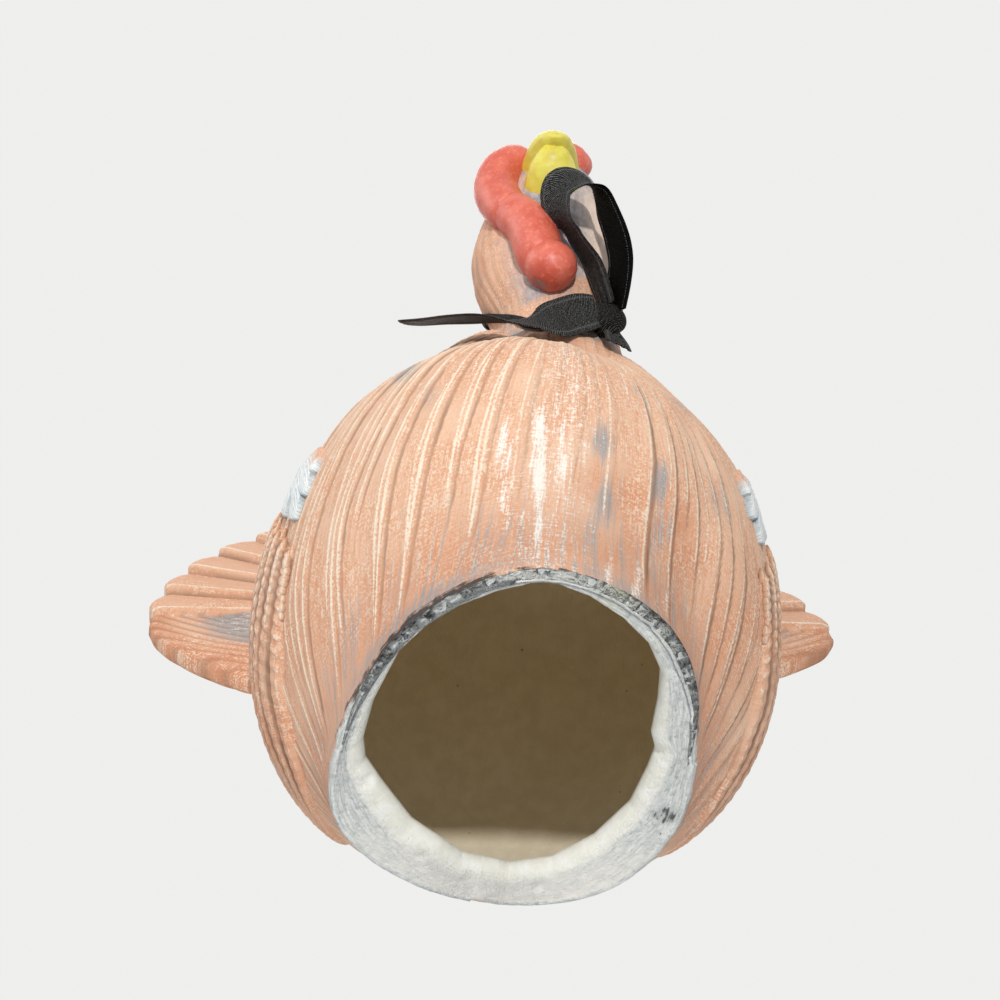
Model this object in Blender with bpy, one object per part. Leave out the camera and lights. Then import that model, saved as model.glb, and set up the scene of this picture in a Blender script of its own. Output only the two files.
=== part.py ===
"""Hollow ceramic turkey figurine with a ribbon tied round its neck.

It stands on its base rim at Z = 0, looks along -Y and has its tail fan at +Y.
All sizes are in metres and all angles are in degrees.
"""
import math

import bmesh
import bpy
from mathutils import Matrix, Vector

# Seam between pieces that touch
SEAM = 0.0003

# Body: the breast reaches further forward than the back reaches behind, and is a little narrower
BODY_WIDTH = 0.0996
BREAST_REACH = 0.0635
BACK_REACH = 0.0575
BREAST_TAPER = 0.062
WIDEST_HEIGHT = 0.0363
CROWN_RISE = 0.0473
BELLY_DROP = 0.0494
WALL = 0.004
BODY_SEGMENTS = 48
BELLY_RINGS = 7
CROWN_RINGS = 9

# Base rim and hand-cut opening: radii every 30 degrees, from +X round by +Y
RIM_RADII = (
    0.0320, 0.0351, 0.0390, 0.0388, 0.0385, 0.0379,
    0.0337, 0.0345, 0.0391, 0.0440, 0.0417, 0.0361,
)
OPENING_RADII = (
    0.0234, 0.0245, 0.0270, 0.0294, 0.0277, 0.0264,
    0.0281, 0.0297, 0.0348, 0.0388, 0.0346, 0.0268,
)
RIM_BLEND_HEIGHT = 0.020
LIP_HEIGHT = 0.0045
LIP_FLARE = 0.0006
LIP_BLEND = 0.0018

# Wings and shoulder feathers: edges as (angle from +X, height) on the left side, from front to rear
WING_LOWER_EDGE = (
    (205, 0.0225), (201, 0.0200), (194, 0.0165), (184, 0.0135),
    (172, 0.0110), (158, 0.0100), (142, 0.0130), (127, 0.0190),
)
WING_UPPER_EDGE = (
    (193, 0.0590), (186, 0.0575), (176, 0.0510), (165, 0.0430),
    (154, 0.0365), (143, 0.0315), (134, 0.0270), (127, 0.0240),
)
WING_THICKNESS = 0.0022
WING_COLUMNS = 18
WING_ROWS = 10
COVERT_LOWER_EDGE = ((219.5, 0.0375), (216, 0.0315), (211, 0.0275), (204.5, 0.0265))
COVERT_UPPER_EDGE = ((218, 0.0500), (212, 0.0560), (204, 0.0590), (195.5, 0.0600))
COVERT_THICKNESS = 0.0016
COVERT_COLUMNS = 6
COVERT_ROWS = 8
PANEL_EDGE_THICKNESS = 0.0007
# How quickly a panel swells from its long edges and from its ends
PANEL_SWELL_ACROSS = 0.6
PANEL_SWELL_ALONG = 0.5
PANEL_END_SHARE = 0.12

# Tail fan: its centre stands this far inside the body's back and above the widest level
FAN_SET_IN = 0.0235
FAN_CENTRE_RISE = 0.0415
FAN_RADIUS = 0.0790
FAN_LEAN = 16
# The fan sits turned a little, its right side higher
FAN_TURN = 3.5
FAN_ROOT_THICKNESS = 0.0070
FAN_TIP_THICKNESS = 0.0036
FEATHER_COUNT = 17
LOWEST_FEATHER_ANGLE = 6
FEATHER_RELIEF = 0.0014
FEATHER_TIP_DROP = 0.0022
# Share of the radius at which a feather's relief is full, and relief of the lobes below
RELIEF_RUN = 0.7
LOBE_RELIEF = 0.6
# Lobes below the lowest feathers: angle below the level and radius, left and right
LEFT_LOBE = ((34, 0.0600), (28, 0.0645), (21, 0.0680), (14, 0.0730), (8, 0.0765), (3, 0.0780))
RIGHT_LOBE = ((30, 0.0550), (24, 0.0580), (17, 0.0625), (11, 0.0690), (6, 0.0745), (1, 0.0780))
# The fan's foot goes on inside the body
FOOT_ANGLES = (-50, -70, -90, -110, -130)
FOOT_RADIUS = 0.040
FAN_RINGS = 6

# Neck and head: the neck leaves the body this far behind the breast's reach, a little off the middle
NECK_ROOT_SET_BACK = 0.030
NECK_SIDE_SHIFT = 0.0055
# Stations: further forward than the root, above it, half width, half depth
NECK_STATIONS = (
    (-0.0030, -0.0128, 0.0185, 0.0168),
    (0.0000, -0.0005, 0.0165, 0.0150),
    (0.0027, 0.0055, 0.0146, 0.0132),
    (0.0047, 0.0105, 0.0140, 0.0125),
    (0.0070, 0.0160, 0.0149, 0.0127),
    (0.0095, 0.0225, 0.0162, 0.0133),
    (0.0117, 0.0295, 0.0167, 0.0136),
    (0.0143, 0.0365, 0.0153, 0.0132),
    (0.0172, 0.0430, 0.0128, 0.0123),
    (0.0195, 0.0485, 0.0101, 0.0104),
    (0.0210, 0.0525, 0.0066, 0.0068),
    (0.0219, 0.0546, 0.0030, 0.0032),
)
NECK_SEGMENTS = 28
HEAD_STATION = 8
CROWN_TIP_SHARE = 0.4

# The beak points a little to the left
BEAK_SIDE_SHIFT = -0.0008
# Beak stations: further forward than the head's station, above it, half width, half depth
UPPER_BEAK_STATIONS = (
    (0.0055, 0.0008, 0.0064, 0.0048),
    (0.0106, 0.0013, 0.0061, 0.0046),
    (0.0150, 0.0006, 0.0051, 0.0040),
    (0.0183, -0.0009, 0.0034, 0.0029),
    (0.0198, -0.0021, 0.0016, 0.0015),
)
LOWER_BEAK_STATIONS = (
    (0.0035, -0.0068, 0.0060, 0.0052),
    (0.0086, -0.0064, 0.0059, 0.0047),
    (0.0133, -0.0055, 0.0050, 0.0038),
    (0.0165, -0.0044, 0.0032, 0.0026),
    (0.0178, -0.0038, 0.0015, 0.0013),
)
BEAK_SEGMENTS = 16
BEAK_TIP_SHARE = 0.5

# Red skin on the face and throat: share of the way up the neck, angle from its front,
# stand-off from its skin and, for the rolls, the radius
CARUNCLE_PLACE = (0.960, -22, -0.0004)
CARUNCLE_RADII = (0.0076, 0.0050, 0.0054)
SNOOD_POINTS = (
    (0.880, 46, 0.0016, 0.0040),
    (0.800, 58, 0.0022, 0.0045),
    (0.708, 56, 0.0014, 0.0046),
    (0.609, 39, 0.0006, 0.0045),
    (0.531, 24, 0.0007, 0.0042),
)
WATTLE_POINTS = (
    (0.520, 20, 0.0004, 0.0040),
    (0.443, 15, 0.0010, 0.0040),
    (0.385, 13, 0.0006, 0.0038),
)
WATTLE_BALL_PLACE = (0.365, 5, 0.0025)
WATTLE_BALL_RADIUS = 0.0053
SNOOD_RINGS = 16
WATTLE_RINGS = 10
ROLL_SEGMENTS = 14
ROLL_END_SHARE = 0.55
BALL_SEGMENTS = 24
BALL_RINGS = 14

# Ribbon
RIBBON_WIDTH = 0.0095
RIBBON_THICKNESS = 0.0006
BAND_FRONT_CLIMB = 0.144
BAND_NAPE_CLIMB = 0.40
BAND_WIDTH = 0.0020
BAND_THICKNESS = 0.0009
BAND_SEGMENTS = 40
KNOT_ANGLE = -38
KNOT_STAND_OFF = 0.0022
KNOT_RADII = (0.0036, 0.0032, 0.0044)
# Strip stations from the knot's centre: place (x, y, z), edge direction, share of the width
LOOP_STATIONS = (
    ((-0.0001, -0.0021, 0.0015), (-0.39, 0.38, 0.84), 0.50),
    ((-0.0033, -0.0077, 0.0085), (-0.42, 0.22, 0.88), 0.85),
    ((-0.0070, -0.0117, 0.0129), (-0.41, 0.21, 0.89), 1.00),
    ((-0.0097, -0.0147, 0.0155), (-0.44, 0.11, 0.89), 1.00),
    ((-0.0110, -0.0172, 0.0190), (-0.48, -0.03, 0.88), 1.00),
    ((-0.0103, -0.0194, 0.0209), (-0.44, -0.16, 0.88), 1.00),
    ((-0.0081, -0.0203, 0.0213), (-0.28, -0.10, 0.95), 1.00),
    ((-0.0049, -0.0201, 0.0207), (-0.16, 0.17, 0.97), 1.00),
    ((-0.0025, -0.0185, 0.0191), (-0.30, 0.38, 0.88), 1.00),
    ((-0.0007, -0.0162, 0.0160), (-0.35, 0.51, 0.79), 1.00),
    ((0.0010, -0.0132, 0.0121), (-0.38, 0.49, 0.78), 1.00),
    ((0.0020, -0.0100, 0.0078), (-0.39, 0.46, 0.80), 0.95),
    ((0.0018, -0.0060, 0.0037), (-0.41, 0.44, 0.80), 0.75),
    ((0.0015, -0.0020, 0.0006), (-0.39, 0.42, 0.82), 0.50),
)
LONG_TAIL_STATIONS = (
    ((-0.0020, -0.0023, 0.0), (-0.46, -0.43, 0.77), 0.55),
    ((-0.0050, -0.0025, -0.0016), (-0.37, -0.38, 0.85), 0.90),
    ((-0.0091, -0.0026, -0.0046), (-0.16, -0.30, 0.94), 1.00),
    ((-0.0123, -0.0031, -0.0082), (-0.04, -0.03, 1.00), 1.00),
    ((-0.0156, -0.0036, -0.0096), (0.02, 0.29, 0.96), 1.00),
    ((-0.0197, -0.0038, -0.0099), (0.05, 0.44, 0.90), 1.00),
    ((-0.0234, -0.0036, -0.0091), (0.06, 0.58, 0.81), 1.00),
    ((-0.0276, -0.0032, -0.0086), (0.05, 0.65, 0.76), 1.00),
    ((-0.0324, -0.0027, -0.0086), (0.03, 0.63, 0.77), 1.00),
    ((-0.0373, -0.0017, -0.0084), (0.02, 0.60, 0.80), 1.00),
    ((-0.0408, -0.0009, -0.0077), (0.00, 0.56, 0.83), 0.90),
)
SHORT_TAIL_STATIONS = (
    ((0.0010, 0.0006, -0.0029), (0.58, 0.38, 0.72), 0.50),
    ((0.0016, 0.0013, -0.0049), (0.58, 0.38, 0.72), 0.80),
    ((0.0021, 0.0019, -0.0066), (0.58, 0.38, 0.72), 0.85),
)
RINGS_PER_STATION = 2


def clear_scene():
    for thing in list(bpy.data.objects):
        bpy.data.objects.remove(thing, do_unlink=True)


def make_material(name, colour, roughness):
    material = bpy.data.materials.new(name)
    material.use_nodes = True
    shader = material.node_tree.nodes["Principled BSDF"]
    shader.inputs["Base Color"].default_value = (*colour, 1.0)
    shader.inputs["Roughness"].default_value = roughness
    shader.inputs["Metallic"].default_value = 0.0
    return material


def lerp(start, end, share):
    return start + (end - start) * share


def smooth_step(share):
    share = min(max(share, 0.0), 1.0)
    return share * share * (3.0 - 2.0 * share)


def through_points(points, share):
    """Place on a smooth curve that passes through the points, at a share of its length."""
    last = len(points) - 1
    place = min(max(share, 0.0), 1.0) * last
    index = min(int(place), last - 1)
    t = place - index
    before = points[max(index - 1, 0)]
    here = points[index]
    there = points[index + 1]
    after = points[min(index + 2, last)]
    result = []
    for a, b, c, d in zip(before, here, there, after):
        bend = (2.0 * a - 5.0 * b + 4.0 * c - d) * t * t
        twist = (3.0 * b - a - 3.0 * c + d) * t * t * t
        result.append(0.5 * (2.0 * b + (c - a) * t + bend + twist))
    return result


def heading(points, share):
    """Direction of the curve through the points at a share of its length."""
    step = 0.01
    before = Vector(through_points(points, share - step)[:3])
    after = Vector(through_points(points, share + step)[:3])
    return (after - before).normalized()


def round_table(values, angle):
    """Smooth reading of values that are spaced evenly round a circle."""
    place = (angle % 360.0) / 360.0 * len(values)
    index = int(place)
    count = len(values)
    ring = [(values[(index + step) % count],) for step in (-1, 0, 1, 2)]
    return through_points(ring, (1.0 + place - index) / 3.0)[0]


def body_point(angle, height, grow=0.0):
    """Point on the body's outer skin, moved outwards by grow."""
    turn = math.radians(angle)
    rise = height - WIDEST_HEIGHT
    reach = (CROWN_RISE if rise > 0.0 else BELLY_DROP) + grow
    level = math.sqrt(max(1.0 - (rise / reach) ** 2, 0.0))
    length = BREAST_REACH if math.sin(turn) < 0.0 else BACK_REACH
    y = (length + grow) * level * math.sin(turn)
    half_width = BODY_WIDTH / 2.0 * (1.0 + BREAST_TAPER * y / BACK_REACH) + grow
    x = half_width * level * math.cos(turn)
    if height < RIM_BLEND_HEIGHT:
        share = (1.0 - max(height, 0.0) / RIM_BLEND_HEIGHT) ** 2
        rim = round_table(RIM_RADII, angle) + grow
        x = lerp(x, rim * math.cos(turn), share)
        y = lerp(y, rim * math.sin(turn), share)
    return Vector((x, y, height))


def body_normal(angle, height):
    """Outward direction of the body's skin."""
    step = 0.0004
    along = body_point(angle + 0.5, height) - body_point(angle - 0.5, height)
    up = body_point(angle, height + step) - body_point(angle, height - step)
    return along.cross(up).normalized()


def body_levels(bottom, crown_rise, belly_drop):
    """Heights of the body's rings, closer together where the skin turns in."""
    start = math.asin(min((WIDEST_HEIGHT - bottom) / belly_drop, 0.98))
    heights = []
    for ring in range(BELLY_RINGS):
        heights.append(WIDEST_HEIGHT - belly_drop * math.sin(start * (1.0 - ring / BELLY_RINGS)))
    for ring in range(CROWN_RINGS):
        heights.append(WIDEST_HEIGHT + crown_rise * math.sin(math.pi / 2.0 * ring / CROWN_RINGS))
    return heights


def ring_angles(count):
    return [360.0 * step / count for step in range(count)]


def add_ring(mesh, points):
    return [mesh.verts.new(point) for point in points]


def bridge_rings(mesh, lower, upper):
    count = len(lower)
    for step in range(count):
        following = (step + 1) % count
        mesh.faces.new((lower[step], lower[following], upper[following], upper[step]))


def close_with_point(mesh, ring, point):
    tip = mesh.verts.new(point)
    count = len(ring)
    for step in range(count):
        mesh.faces.new((ring[step], ring[(step + 1) % count], tip))


def finish_object(name, mesh, material):
    """Turn a closed bmesh into a smooth shaded object with its faces out."""
    bmesh.ops.recalc_face_normals(mesh, faces=mesh.faces)
    if mesh.calc_volume(signed=True) < 0.0:
        bmesh.ops.reverse_faces(mesh, faces=mesh.faces)
    data = bpy.data.meshes.new(name)
    mesh.to_mesh(data)
    mesh.free()
    data.shade_smooth()
    data.set_sharp_from_angle(angle=math.radians(40.0))
    if material is not None:
        data.materials.append(material)
    thing = bpy.data.objects.new(name, data)
    bpy.context.scene.collection.objects.link(thing)
    return thing


def make_cutter(name, mesh):
    cutter = finish_object(name, mesh, None)
    cutter.hide_render = True
    cutter.hide_viewport = False
    cutter.display_type = "WIRE"
    return cutter


def cut(thing, *cutters):
    for cutter in cutters:
        boolean = thing.modifiers.new("seam_" + cutter.name, "BOOLEAN")
        boolean.operation = "DIFFERENCE"
        boolean.solver = "EXACT"
        boolean.object = cutter


def solid_body_mesh(grow):
    """Body without its hollow, for cutting what sits on it."""
    mesh = bmesh.new()
    heights = body_levels(0.0, CROWN_RISE + grow, BELLY_DROP + grow)
    angles = ring_angles(BODY_SEGMENTS)
    rings = [add_ring(mesh, [body_point(angle, height, grow) for angle in angles]) for height in heights]
    for lower, upper in zip(rings, rings[1:]):
        bridge_rings(mesh, lower, upper)
    close_with_point(mesh, rings[0], (0.0, 0.0, heights[0]))
    close_with_point(mesh, rings[-1], (0.0, 0.0, WIDEST_HEIGHT + CROWN_RISE + grow))
    return mesh


def opening_point(angle, height, flare):
    turn = math.radians(angle)
    radius = round_table(OPENING_RADII, angle) + flare
    return Vector((radius * math.cos(turn), radius * math.sin(turn), height))


def hollow_point(angle, height):
    """Point on the hollow's wall, near the base never tighter than the opening."""
    inner = body_point(angle, height, -WALL)
    if height < RIM_BLEND_HEIGHT:
        across = Vector((inner.x, inner.y, 0.0))
        least = opening_point(angle, 0.0, 2.0 * LIP_FLARE).length
        across *= max(least / across.length, 1.0)
        inner = Vector((across.x, across.y, height))
    return inner


def make_body_shell(material):
    mesh = bmesh.new()
    angles = ring_angles(BODY_SEGMENTS)
    outer = []
    for height in body_levels(0.0, CROWN_RISE, BELLY_DROP):
        outer.append(add_ring(mesh, [body_point(angle, height) for angle in angles]))
    inner = [add_ring(mesh, [opening_point(angle, 0.0, 0.0) for angle in angles])]
    inner.append(add_ring(mesh, [opening_point(angle, LIP_HEIGHT, LIP_FLARE) for angle in angles]))
    for height in body_levels(LIP_HEIGHT + LIP_BLEND, CROWN_RISE - WALL, BELLY_DROP - WALL):
        inner.append(add_ring(mesh, [hollow_point(angle, height) for angle in angles]))
    for rings in (outer, inner):
        for lower, upper in zip(rings, rings[1:]):
            bridge_rings(mesh, lower, upper)
    bridge_rings(mesh, inner[0], outer[0])
    close_with_point(mesh, outer[-1], (0.0, 0.0, WIDEST_HEIGHT + CROWN_RISE))
    close_with_point(mesh, inner[-1], (0.0, 0.0, WIDEST_HEIGHT + CROWN_RISE - WALL))
    return finish_object("body_shell", mesh, material)


def panel_layer(mesh, edges, side, size, thickness):
    """One face of a feather panel; a thickness of None makes the face that lies on the skin."""
    columns, rows = size
    grid = []
    for column in range(columns + 1):
        along = column / columns
        low_angle, low_height = through_points(edges[0], along)
        high_angle, high_height = through_points(edges[1], along)
        line = []
        for row in range(rows + 1):
            across = row / rows
            angle = lerp(low_angle, high_angle, across)
            if side < 0:
                angle = 180.0 - angle
            height = lerp(low_height, high_height, across)
            lift = SEAM
            if thickness is not None:
                swell = math.sin(math.pi * across) ** PANEL_SWELL_ACROSS
                end_turn = math.pi * lerp(PANEL_END_SHARE, 1.0 - PANEL_END_SHARE, along)
                swell *= math.sin(end_turn) ** PANEL_SWELL_ALONG
                lift += lerp(PANEL_EDGE_THICKNESS, thickness, swell)
            line.append(mesh.verts.new(body_point(angle, height) + body_normal(angle, height) * lift))
        grid.append(line)
    for line, following in zip(grid, grid[1:]):
        for row in range(rows):
            mesh.faces.new((line[row], following[row], following[row + 1], line[row + 1]))
    return grid


def grid_border(grid):
    """Points round a grid's border, in order."""
    border = list(grid[0])
    border += [line[-1] for line in grid[1:-1]]
    border += list(reversed(grid[-1]))
    border += [line[0] for line in reversed(grid[1:-1])]
    return border


def make_panel(name, edges, thickness, side, size, material):
    """Raised feather panel that lies on the body's skin; side is 1 on the left and -1 on the right."""
    mesh = bmesh.new()
    inner = panel_layer(mesh, edges, side, size, None)
    outer = panel_layer(mesh, edges, side, size, thickness)
    bridge_rings(mesh, grid_border(inner), grid_border(outer))
    return finish_object(name, mesh, material)


def make_wings(material):
    edges = (WING_LOWER_EDGE, WING_UPPER_EDGE)
    size = (WING_COLUMNS, WING_ROWS)
    for name, side in (("wing_left", 1), ("wing_right", -1)):
        make_panel(name, edges, WING_THICKNESS, side, size, material)


def make_shoulder_coverts(material):
    edges = (COVERT_LOWER_EDGE, COVERT_UPPER_EDGE)
    size = (COVERT_COLUMNS, COVERT_ROWS)
    for name, side in (("shoulder_coverts_left", 1), ("shoulder_coverts_right", -1)):
        make_panel(name, edges, COVERT_THICKNESS, side, size, material)


def fan_point(angle, radius, ahead):
    """Point of the fan: angle from +X in its plane, distance from its centre, height above the plane."""
    lean = math.radians(FAN_LEAN)
    centre = Vector((0.0, BACK_REACH - FAN_SET_IN, WIDEST_HEIGHT + FAN_CENTRE_RISE))
    up = Vector((0.0, math.sin(lean), math.cos(lean)))
    front = Vector((0.0, -math.cos(lean), math.sin(lean)))
    turn = math.radians(angle + FAN_TURN)
    side = Vector((radius * math.cos(turn), 0.0, 0.0))
    return centre + side + up * radius * math.sin(turn) + front * ahead


def feather_columns():
    """Columns of the fan all round its centre, from the right lobe over the top: angle, radius, relief."""
    lobe_relief = LOBE_RELIEF * FEATHER_RELIEF
    columns = [(-angle, radius, lobe_relief) for angle, radius in RIGHT_LOBE]
    pitch = (180.0 - 2.0 * LOWEST_FEATHER_ANGLE) / (FEATHER_COUNT - 1)
    for feather in range(FEATHER_COUNT):
        middle = LOWEST_FEATHER_ANGLE + pitch * feather
        side = 1.0 if 2 * feather < FEATHER_COUNT - 1 else -1.0
        parts = ((-0.46, 0.5 + 0.5 * side), (0.0, 0.5), (0.46, 0.5 - 0.5 * side))
        if 2 * feather == FEATHER_COUNT - 1:
            parts = ((-0.46, 1.0), (0.0, 1.0), (0.46, 1.0))
        for part, relief in parts:
            drop = FEATHER_TIP_DROP if part else 0.0
            columns.append((middle + part * pitch, FAN_RADIUS - drop, relief * FEATHER_RELIEF))
    columns += [(180.0 + angle, radius, lobe_relief) for angle, radius in reversed(LEFT_LOBE)]
    columns += [(angle, FOOT_RADIUS, 0.0) for angle in reversed(FOOT_ANGLES)]
    return columns


def fan_side(mesh, columns, direction):
    """Front or back face of the fan; returns its outermost points in order."""
    root = mesh.verts.new(fan_point(0.0, 0.0, direction * FAN_ROOT_THICKNESS / 2.0))
    rays = []
    for angle, radius, relief in columns:
        reach = radius if direction > 0.0 else radius - 0.5 * FEATHER_TIP_DROP
        line = []
        for ring in range(1, FAN_RINGS + 1):
            share = ring / FAN_RINGS
            half_thickness = lerp(FAN_ROOT_THICKNESS, FAN_TIP_THICKNESS, share) / 2.0
            carved = relief * smooth_step(share / RELIEF_RUN)
            ahead = direction * (half_thickness + carved)
            line.append(mesh.verts.new(fan_point(angle, reach * share, ahead)))
        rays.append(line)
    for line, following in zip(rays, rays[1:] + rays[:1]):
        mesh.faces.new((root, line[0], following[0]))
        for ring in range(FAN_RINGS - 1):
            mesh.faces.new((line[ring], line[ring + 1], following[ring + 1], following[ring]))
    return [line[-1] for line in rays]


def make_tail_fan(material, body_cutter):
    columns = feather_columns()
    mesh = bmesh.new()
    front = fan_side(mesh, columns, 1.0)
    back = fan_side(mesh, columns, -1.0)
    bridge_rings(mesh, front, back)
    fan = finish_object("tail_fan", mesh, material)
    cut(fan, body_cutter)
    return fan


def neck_root():
    forward = BREAST_REACH - NECK_ROOT_SET_BACK
    reach = 1.0 - (forward / BREAST_REACH) ** 2
    return Vector((NECK_SIDE_SHIFT, -forward, WIDEST_HEIGHT + CROWN_RISE * math.sqrt(reach)))


def neck_frame(climb):
    """Centre, direction, front, half width and half depth at a share of the way up the neck."""
    root = neck_root()
    forward, above, half_width, half_depth = through_points(NECK_STATIONS, climb)
    step = 0.01
    before = through_points(NECK_STATIONS, climb - step)
    after = through_points(NECK_STATIONS, climb + step)
    direction = Vector((0.0, before[0] - after[0], after[1] - before[1])).normalized()
    front = Vector((0.0, -direction.z, direction.y))
    centre = root + Vector((0.0, -forward, above))
    return centre, direction, front, half_width, half_depth


def neck_point(climb, angle, stand_off):
    """Point on the neck's skin; the angle turns from its front to the left."""
    centre, direction, front, half_width, half_depth = neck_frame(climb)
    turn = math.radians(angle)
    side = Vector((-(half_width + stand_off) * math.sin(turn), 0.0, 0.0))
    return centre + side + front * (half_depth + stand_off) * math.cos(turn)


def neck_mesh(grow):
    mesh = bmesh.new()
    count = 2 * (len(NECK_STATIONS) - 1)
    angles = ring_angles(NECK_SEGMENTS)
    rings = []
    for step in range(count + 1):
        rings.append(add_ring(mesh, [neck_point(step / count, angle, grow) for angle in angles]))
    for lower, upper in zip(rings, rings[1:]):
        bridge_rings(mesh, lower, upper)
    bottom, direction = neck_frame(0.0)[:2]
    top, top_direction, front, half_width, half_depth = neck_frame(1.0)
    close_with_point(mesh, rings[0], bottom - direction * grow)
    close_with_point(mesh, rings[-1], top + top_direction * (CROWN_TIP_SHARE * half_depth + grow))
    return mesh


def make_neck_and_head(material, body_cutter):
    neck = finish_object("neck_and_head", neck_mesh(0.0), material)
    cut(neck, body_cutter)
    return neck


def beak_mesh(stations, grow):
    """Beak half as a tapering row of ovals along the head's forward direction."""
    mesh = bmesh.new()
    forward, above = NECK_STATIONS[HEAD_STATION][:2]
    head = neck_root() + Vector((BEAK_SIDE_SHIFT, -forward, above))
    count = 2 * (len(stations) - 1)
    rings = []
    for step in range(count + 1):
        forward, above, half_width, half_depth = through_points(stations, step / count)
        ring = []
        for angle in ring_angles(BEAK_SEGMENTS):
            turn = math.radians(angle)
            side = (half_width + grow) * math.cos(turn)
            rise = above + (half_depth + grow) * math.sin(turn)
            ring.append(head + Vector((side, -forward, rise)))
        rings.append(add_ring(mesh, ring))
    for lower, upper in zip(rings, rings[1:]):
        bridge_rings(mesh, lower, upper)
    first = stations[0]
    last = stations[-1]
    close_with_point(mesh, rings[0], head + Vector((0.0, -first[0] + grow, first[1])))
    tip = last[0] + BEAK_TIP_SHARE * last[3] + grow
    close_with_point(mesh, rings[-1], head + Vector((0.0, -tip, last[1])))
    return mesh


def roll_mesh(points, rings_along, grow):
    """Round roll of skin along points given on the neck."""
    mesh = bmesh.new()
    places = [tuple(neck_point(*point[:3])) + (point[3],) for point in points]
    rings = []
    ends = []
    for step in range(rings_along + 1):
        share = step / rings_along
        x, y, z, radius = through_points(places, share)
        direction = heading(places, share)
        across = direction.cross(Vector((0.0, -1.0, 0.3))).normalized()
        lift = across.cross(direction).normalized()
        centre = Vector((x, y, z))
        ring = []
        for angle in ring_angles(ROLL_SEGMENTS):
            turn = math.radians(angle)
            ring.append(centre + (across * math.cos(turn) + lift * math.sin(turn)) * (radius + grow))
        rings.append(add_ring(mesh, ring))
        ends.append((centre, direction, radius))
    for lower, upper in zip(rings, rings[1:]):
        bridge_rings(mesh, lower, upper)
    centre, direction, radius = ends[0]
    close_with_point(mesh, rings[0], centre - direction * (ROLL_END_SHARE * radius + grow))
    centre, direction, radius = ends[-1]
    close_with_point(mesh, rings[-1], centre + direction * (ROLL_END_SHARE * radius + grow))
    return mesh


def ball_mesh(centre, radii, grow):
    mesh = bmesh.new()
    bmesh.ops.create_uvsphere(mesh, u_segments=BALL_SEGMENTS, v_segments=BALL_RINGS, radius=1.0)
    for vertex in mesh.verts:
        scaled = [value * (radius + grow) for value, radius in zip(vertex.co, radii)]
        vertex.co = centre + Vector(scaled)
    return mesh


def knot_centre():
    climb = band_climb(KNOT_ANGLE)
    return neck_point(climb, KNOT_ANGLE, KNOT_STAND_OFF)


def band_climb(angle):
    """The band sits low at the throat and climbs towards the nape."""
    share = math.cos(math.radians(angle) / 2.0) ** 4
    return lerp(BAND_NAPE_CLIMB, BAND_FRONT_CLIMB, share)


def make_neck_band(material, knot_cutter):
    mesh = bmesh.new()
    length = sum(math.dist(a[:2], b[:2]) for a, b in zip(NECK_STATIONS, NECK_STATIONS[1:]))
    half = 0.5 * BAND_WIDTH / length
    corners = ((-half, SEAM), (half, SEAM), (half, SEAM + BAND_THICKNESS), (-half, SEAM + BAND_THICKNESS))
    loops = []
    for climb_step, stand_off in corners:
        ring = []
        for angle in ring_angles(BAND_SEGMENTS):
            ring.append(neck_point(band_climb(angle) + climb_step, angle, stand_off))
        loops.append(add_ring(mesh, ring))
    for loop, following in zip(loops, loops[1:] + loops[:1]):
        bridge_rings(mesh, loop, following)
    band = finish_object("ribbon_neck_band", mesh, material)
    cut(band, knot_cutter)
    return band


def make_strip(name, stations, material, knot_cutter):
    """Ribbon strip through its stations, as a thin closed solid."""
    mesh = bmesh.new()
    knot = knot_centre()
    rows = [tuple(place) + tuple(edge) + (share,) for place, edge, share in stations]
    count = RINGS_PER_STATION * (len(rows) - 1)
    rings = []
    for step in range(count + 1):
        share = step / count
        row = through_points(rows, share)
        ahead = heading(rows, share)
        edge = Vector(row[3:6])
        edge -= ahead * edge.dot(ahead)
        edge.normalize()
        face = ahead.cross(edge).normalized() * RIBBON_THICKNESS / 2.0
        half = edge * RIBBON_WIDTH / 2.0 * row[6]
        centre = knot + Vector(row[:3])
        top, bottom = centre + half, centre - half
        rings.append(add_ring(mesh, (top + face, bottom + face, bottom - face, top - face)))
    for lower, upper in zip(rings, rings[1:]):
        bridge_rings(mesh, lower, upper)
    mesh.faces.new(rings[0])
    mesh.faces.new(rings[-1])
    strip = finish_object(name, mesh, material)
    cut(strip, knot_cutter)
    return strip


def stand_at_origin():
    """Move everything so that the middle of the whole figure's foot print is the origin."""
    evaluated = bpy.context.evaluated_depsgraph_get()
    corners = []
    for thing in bpy.context.scene.objects:
        if not thing.hide_render:
            corners += [Vector(corner) for corner in thing.evaluated_get(evaluated).bound_box]
    middle = [(min(c[axis] for c in corners) + max(c[axis] for c in corners)) / 2.0 for axis in (0, 1)]
    floor = min(corner.z for corner in corners)
    move = Matrix.Translation((-middle[0], -middle[1], -floor))
    for thing in bpy.context.scene.objects:
        thing.data.transform(move)


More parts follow.
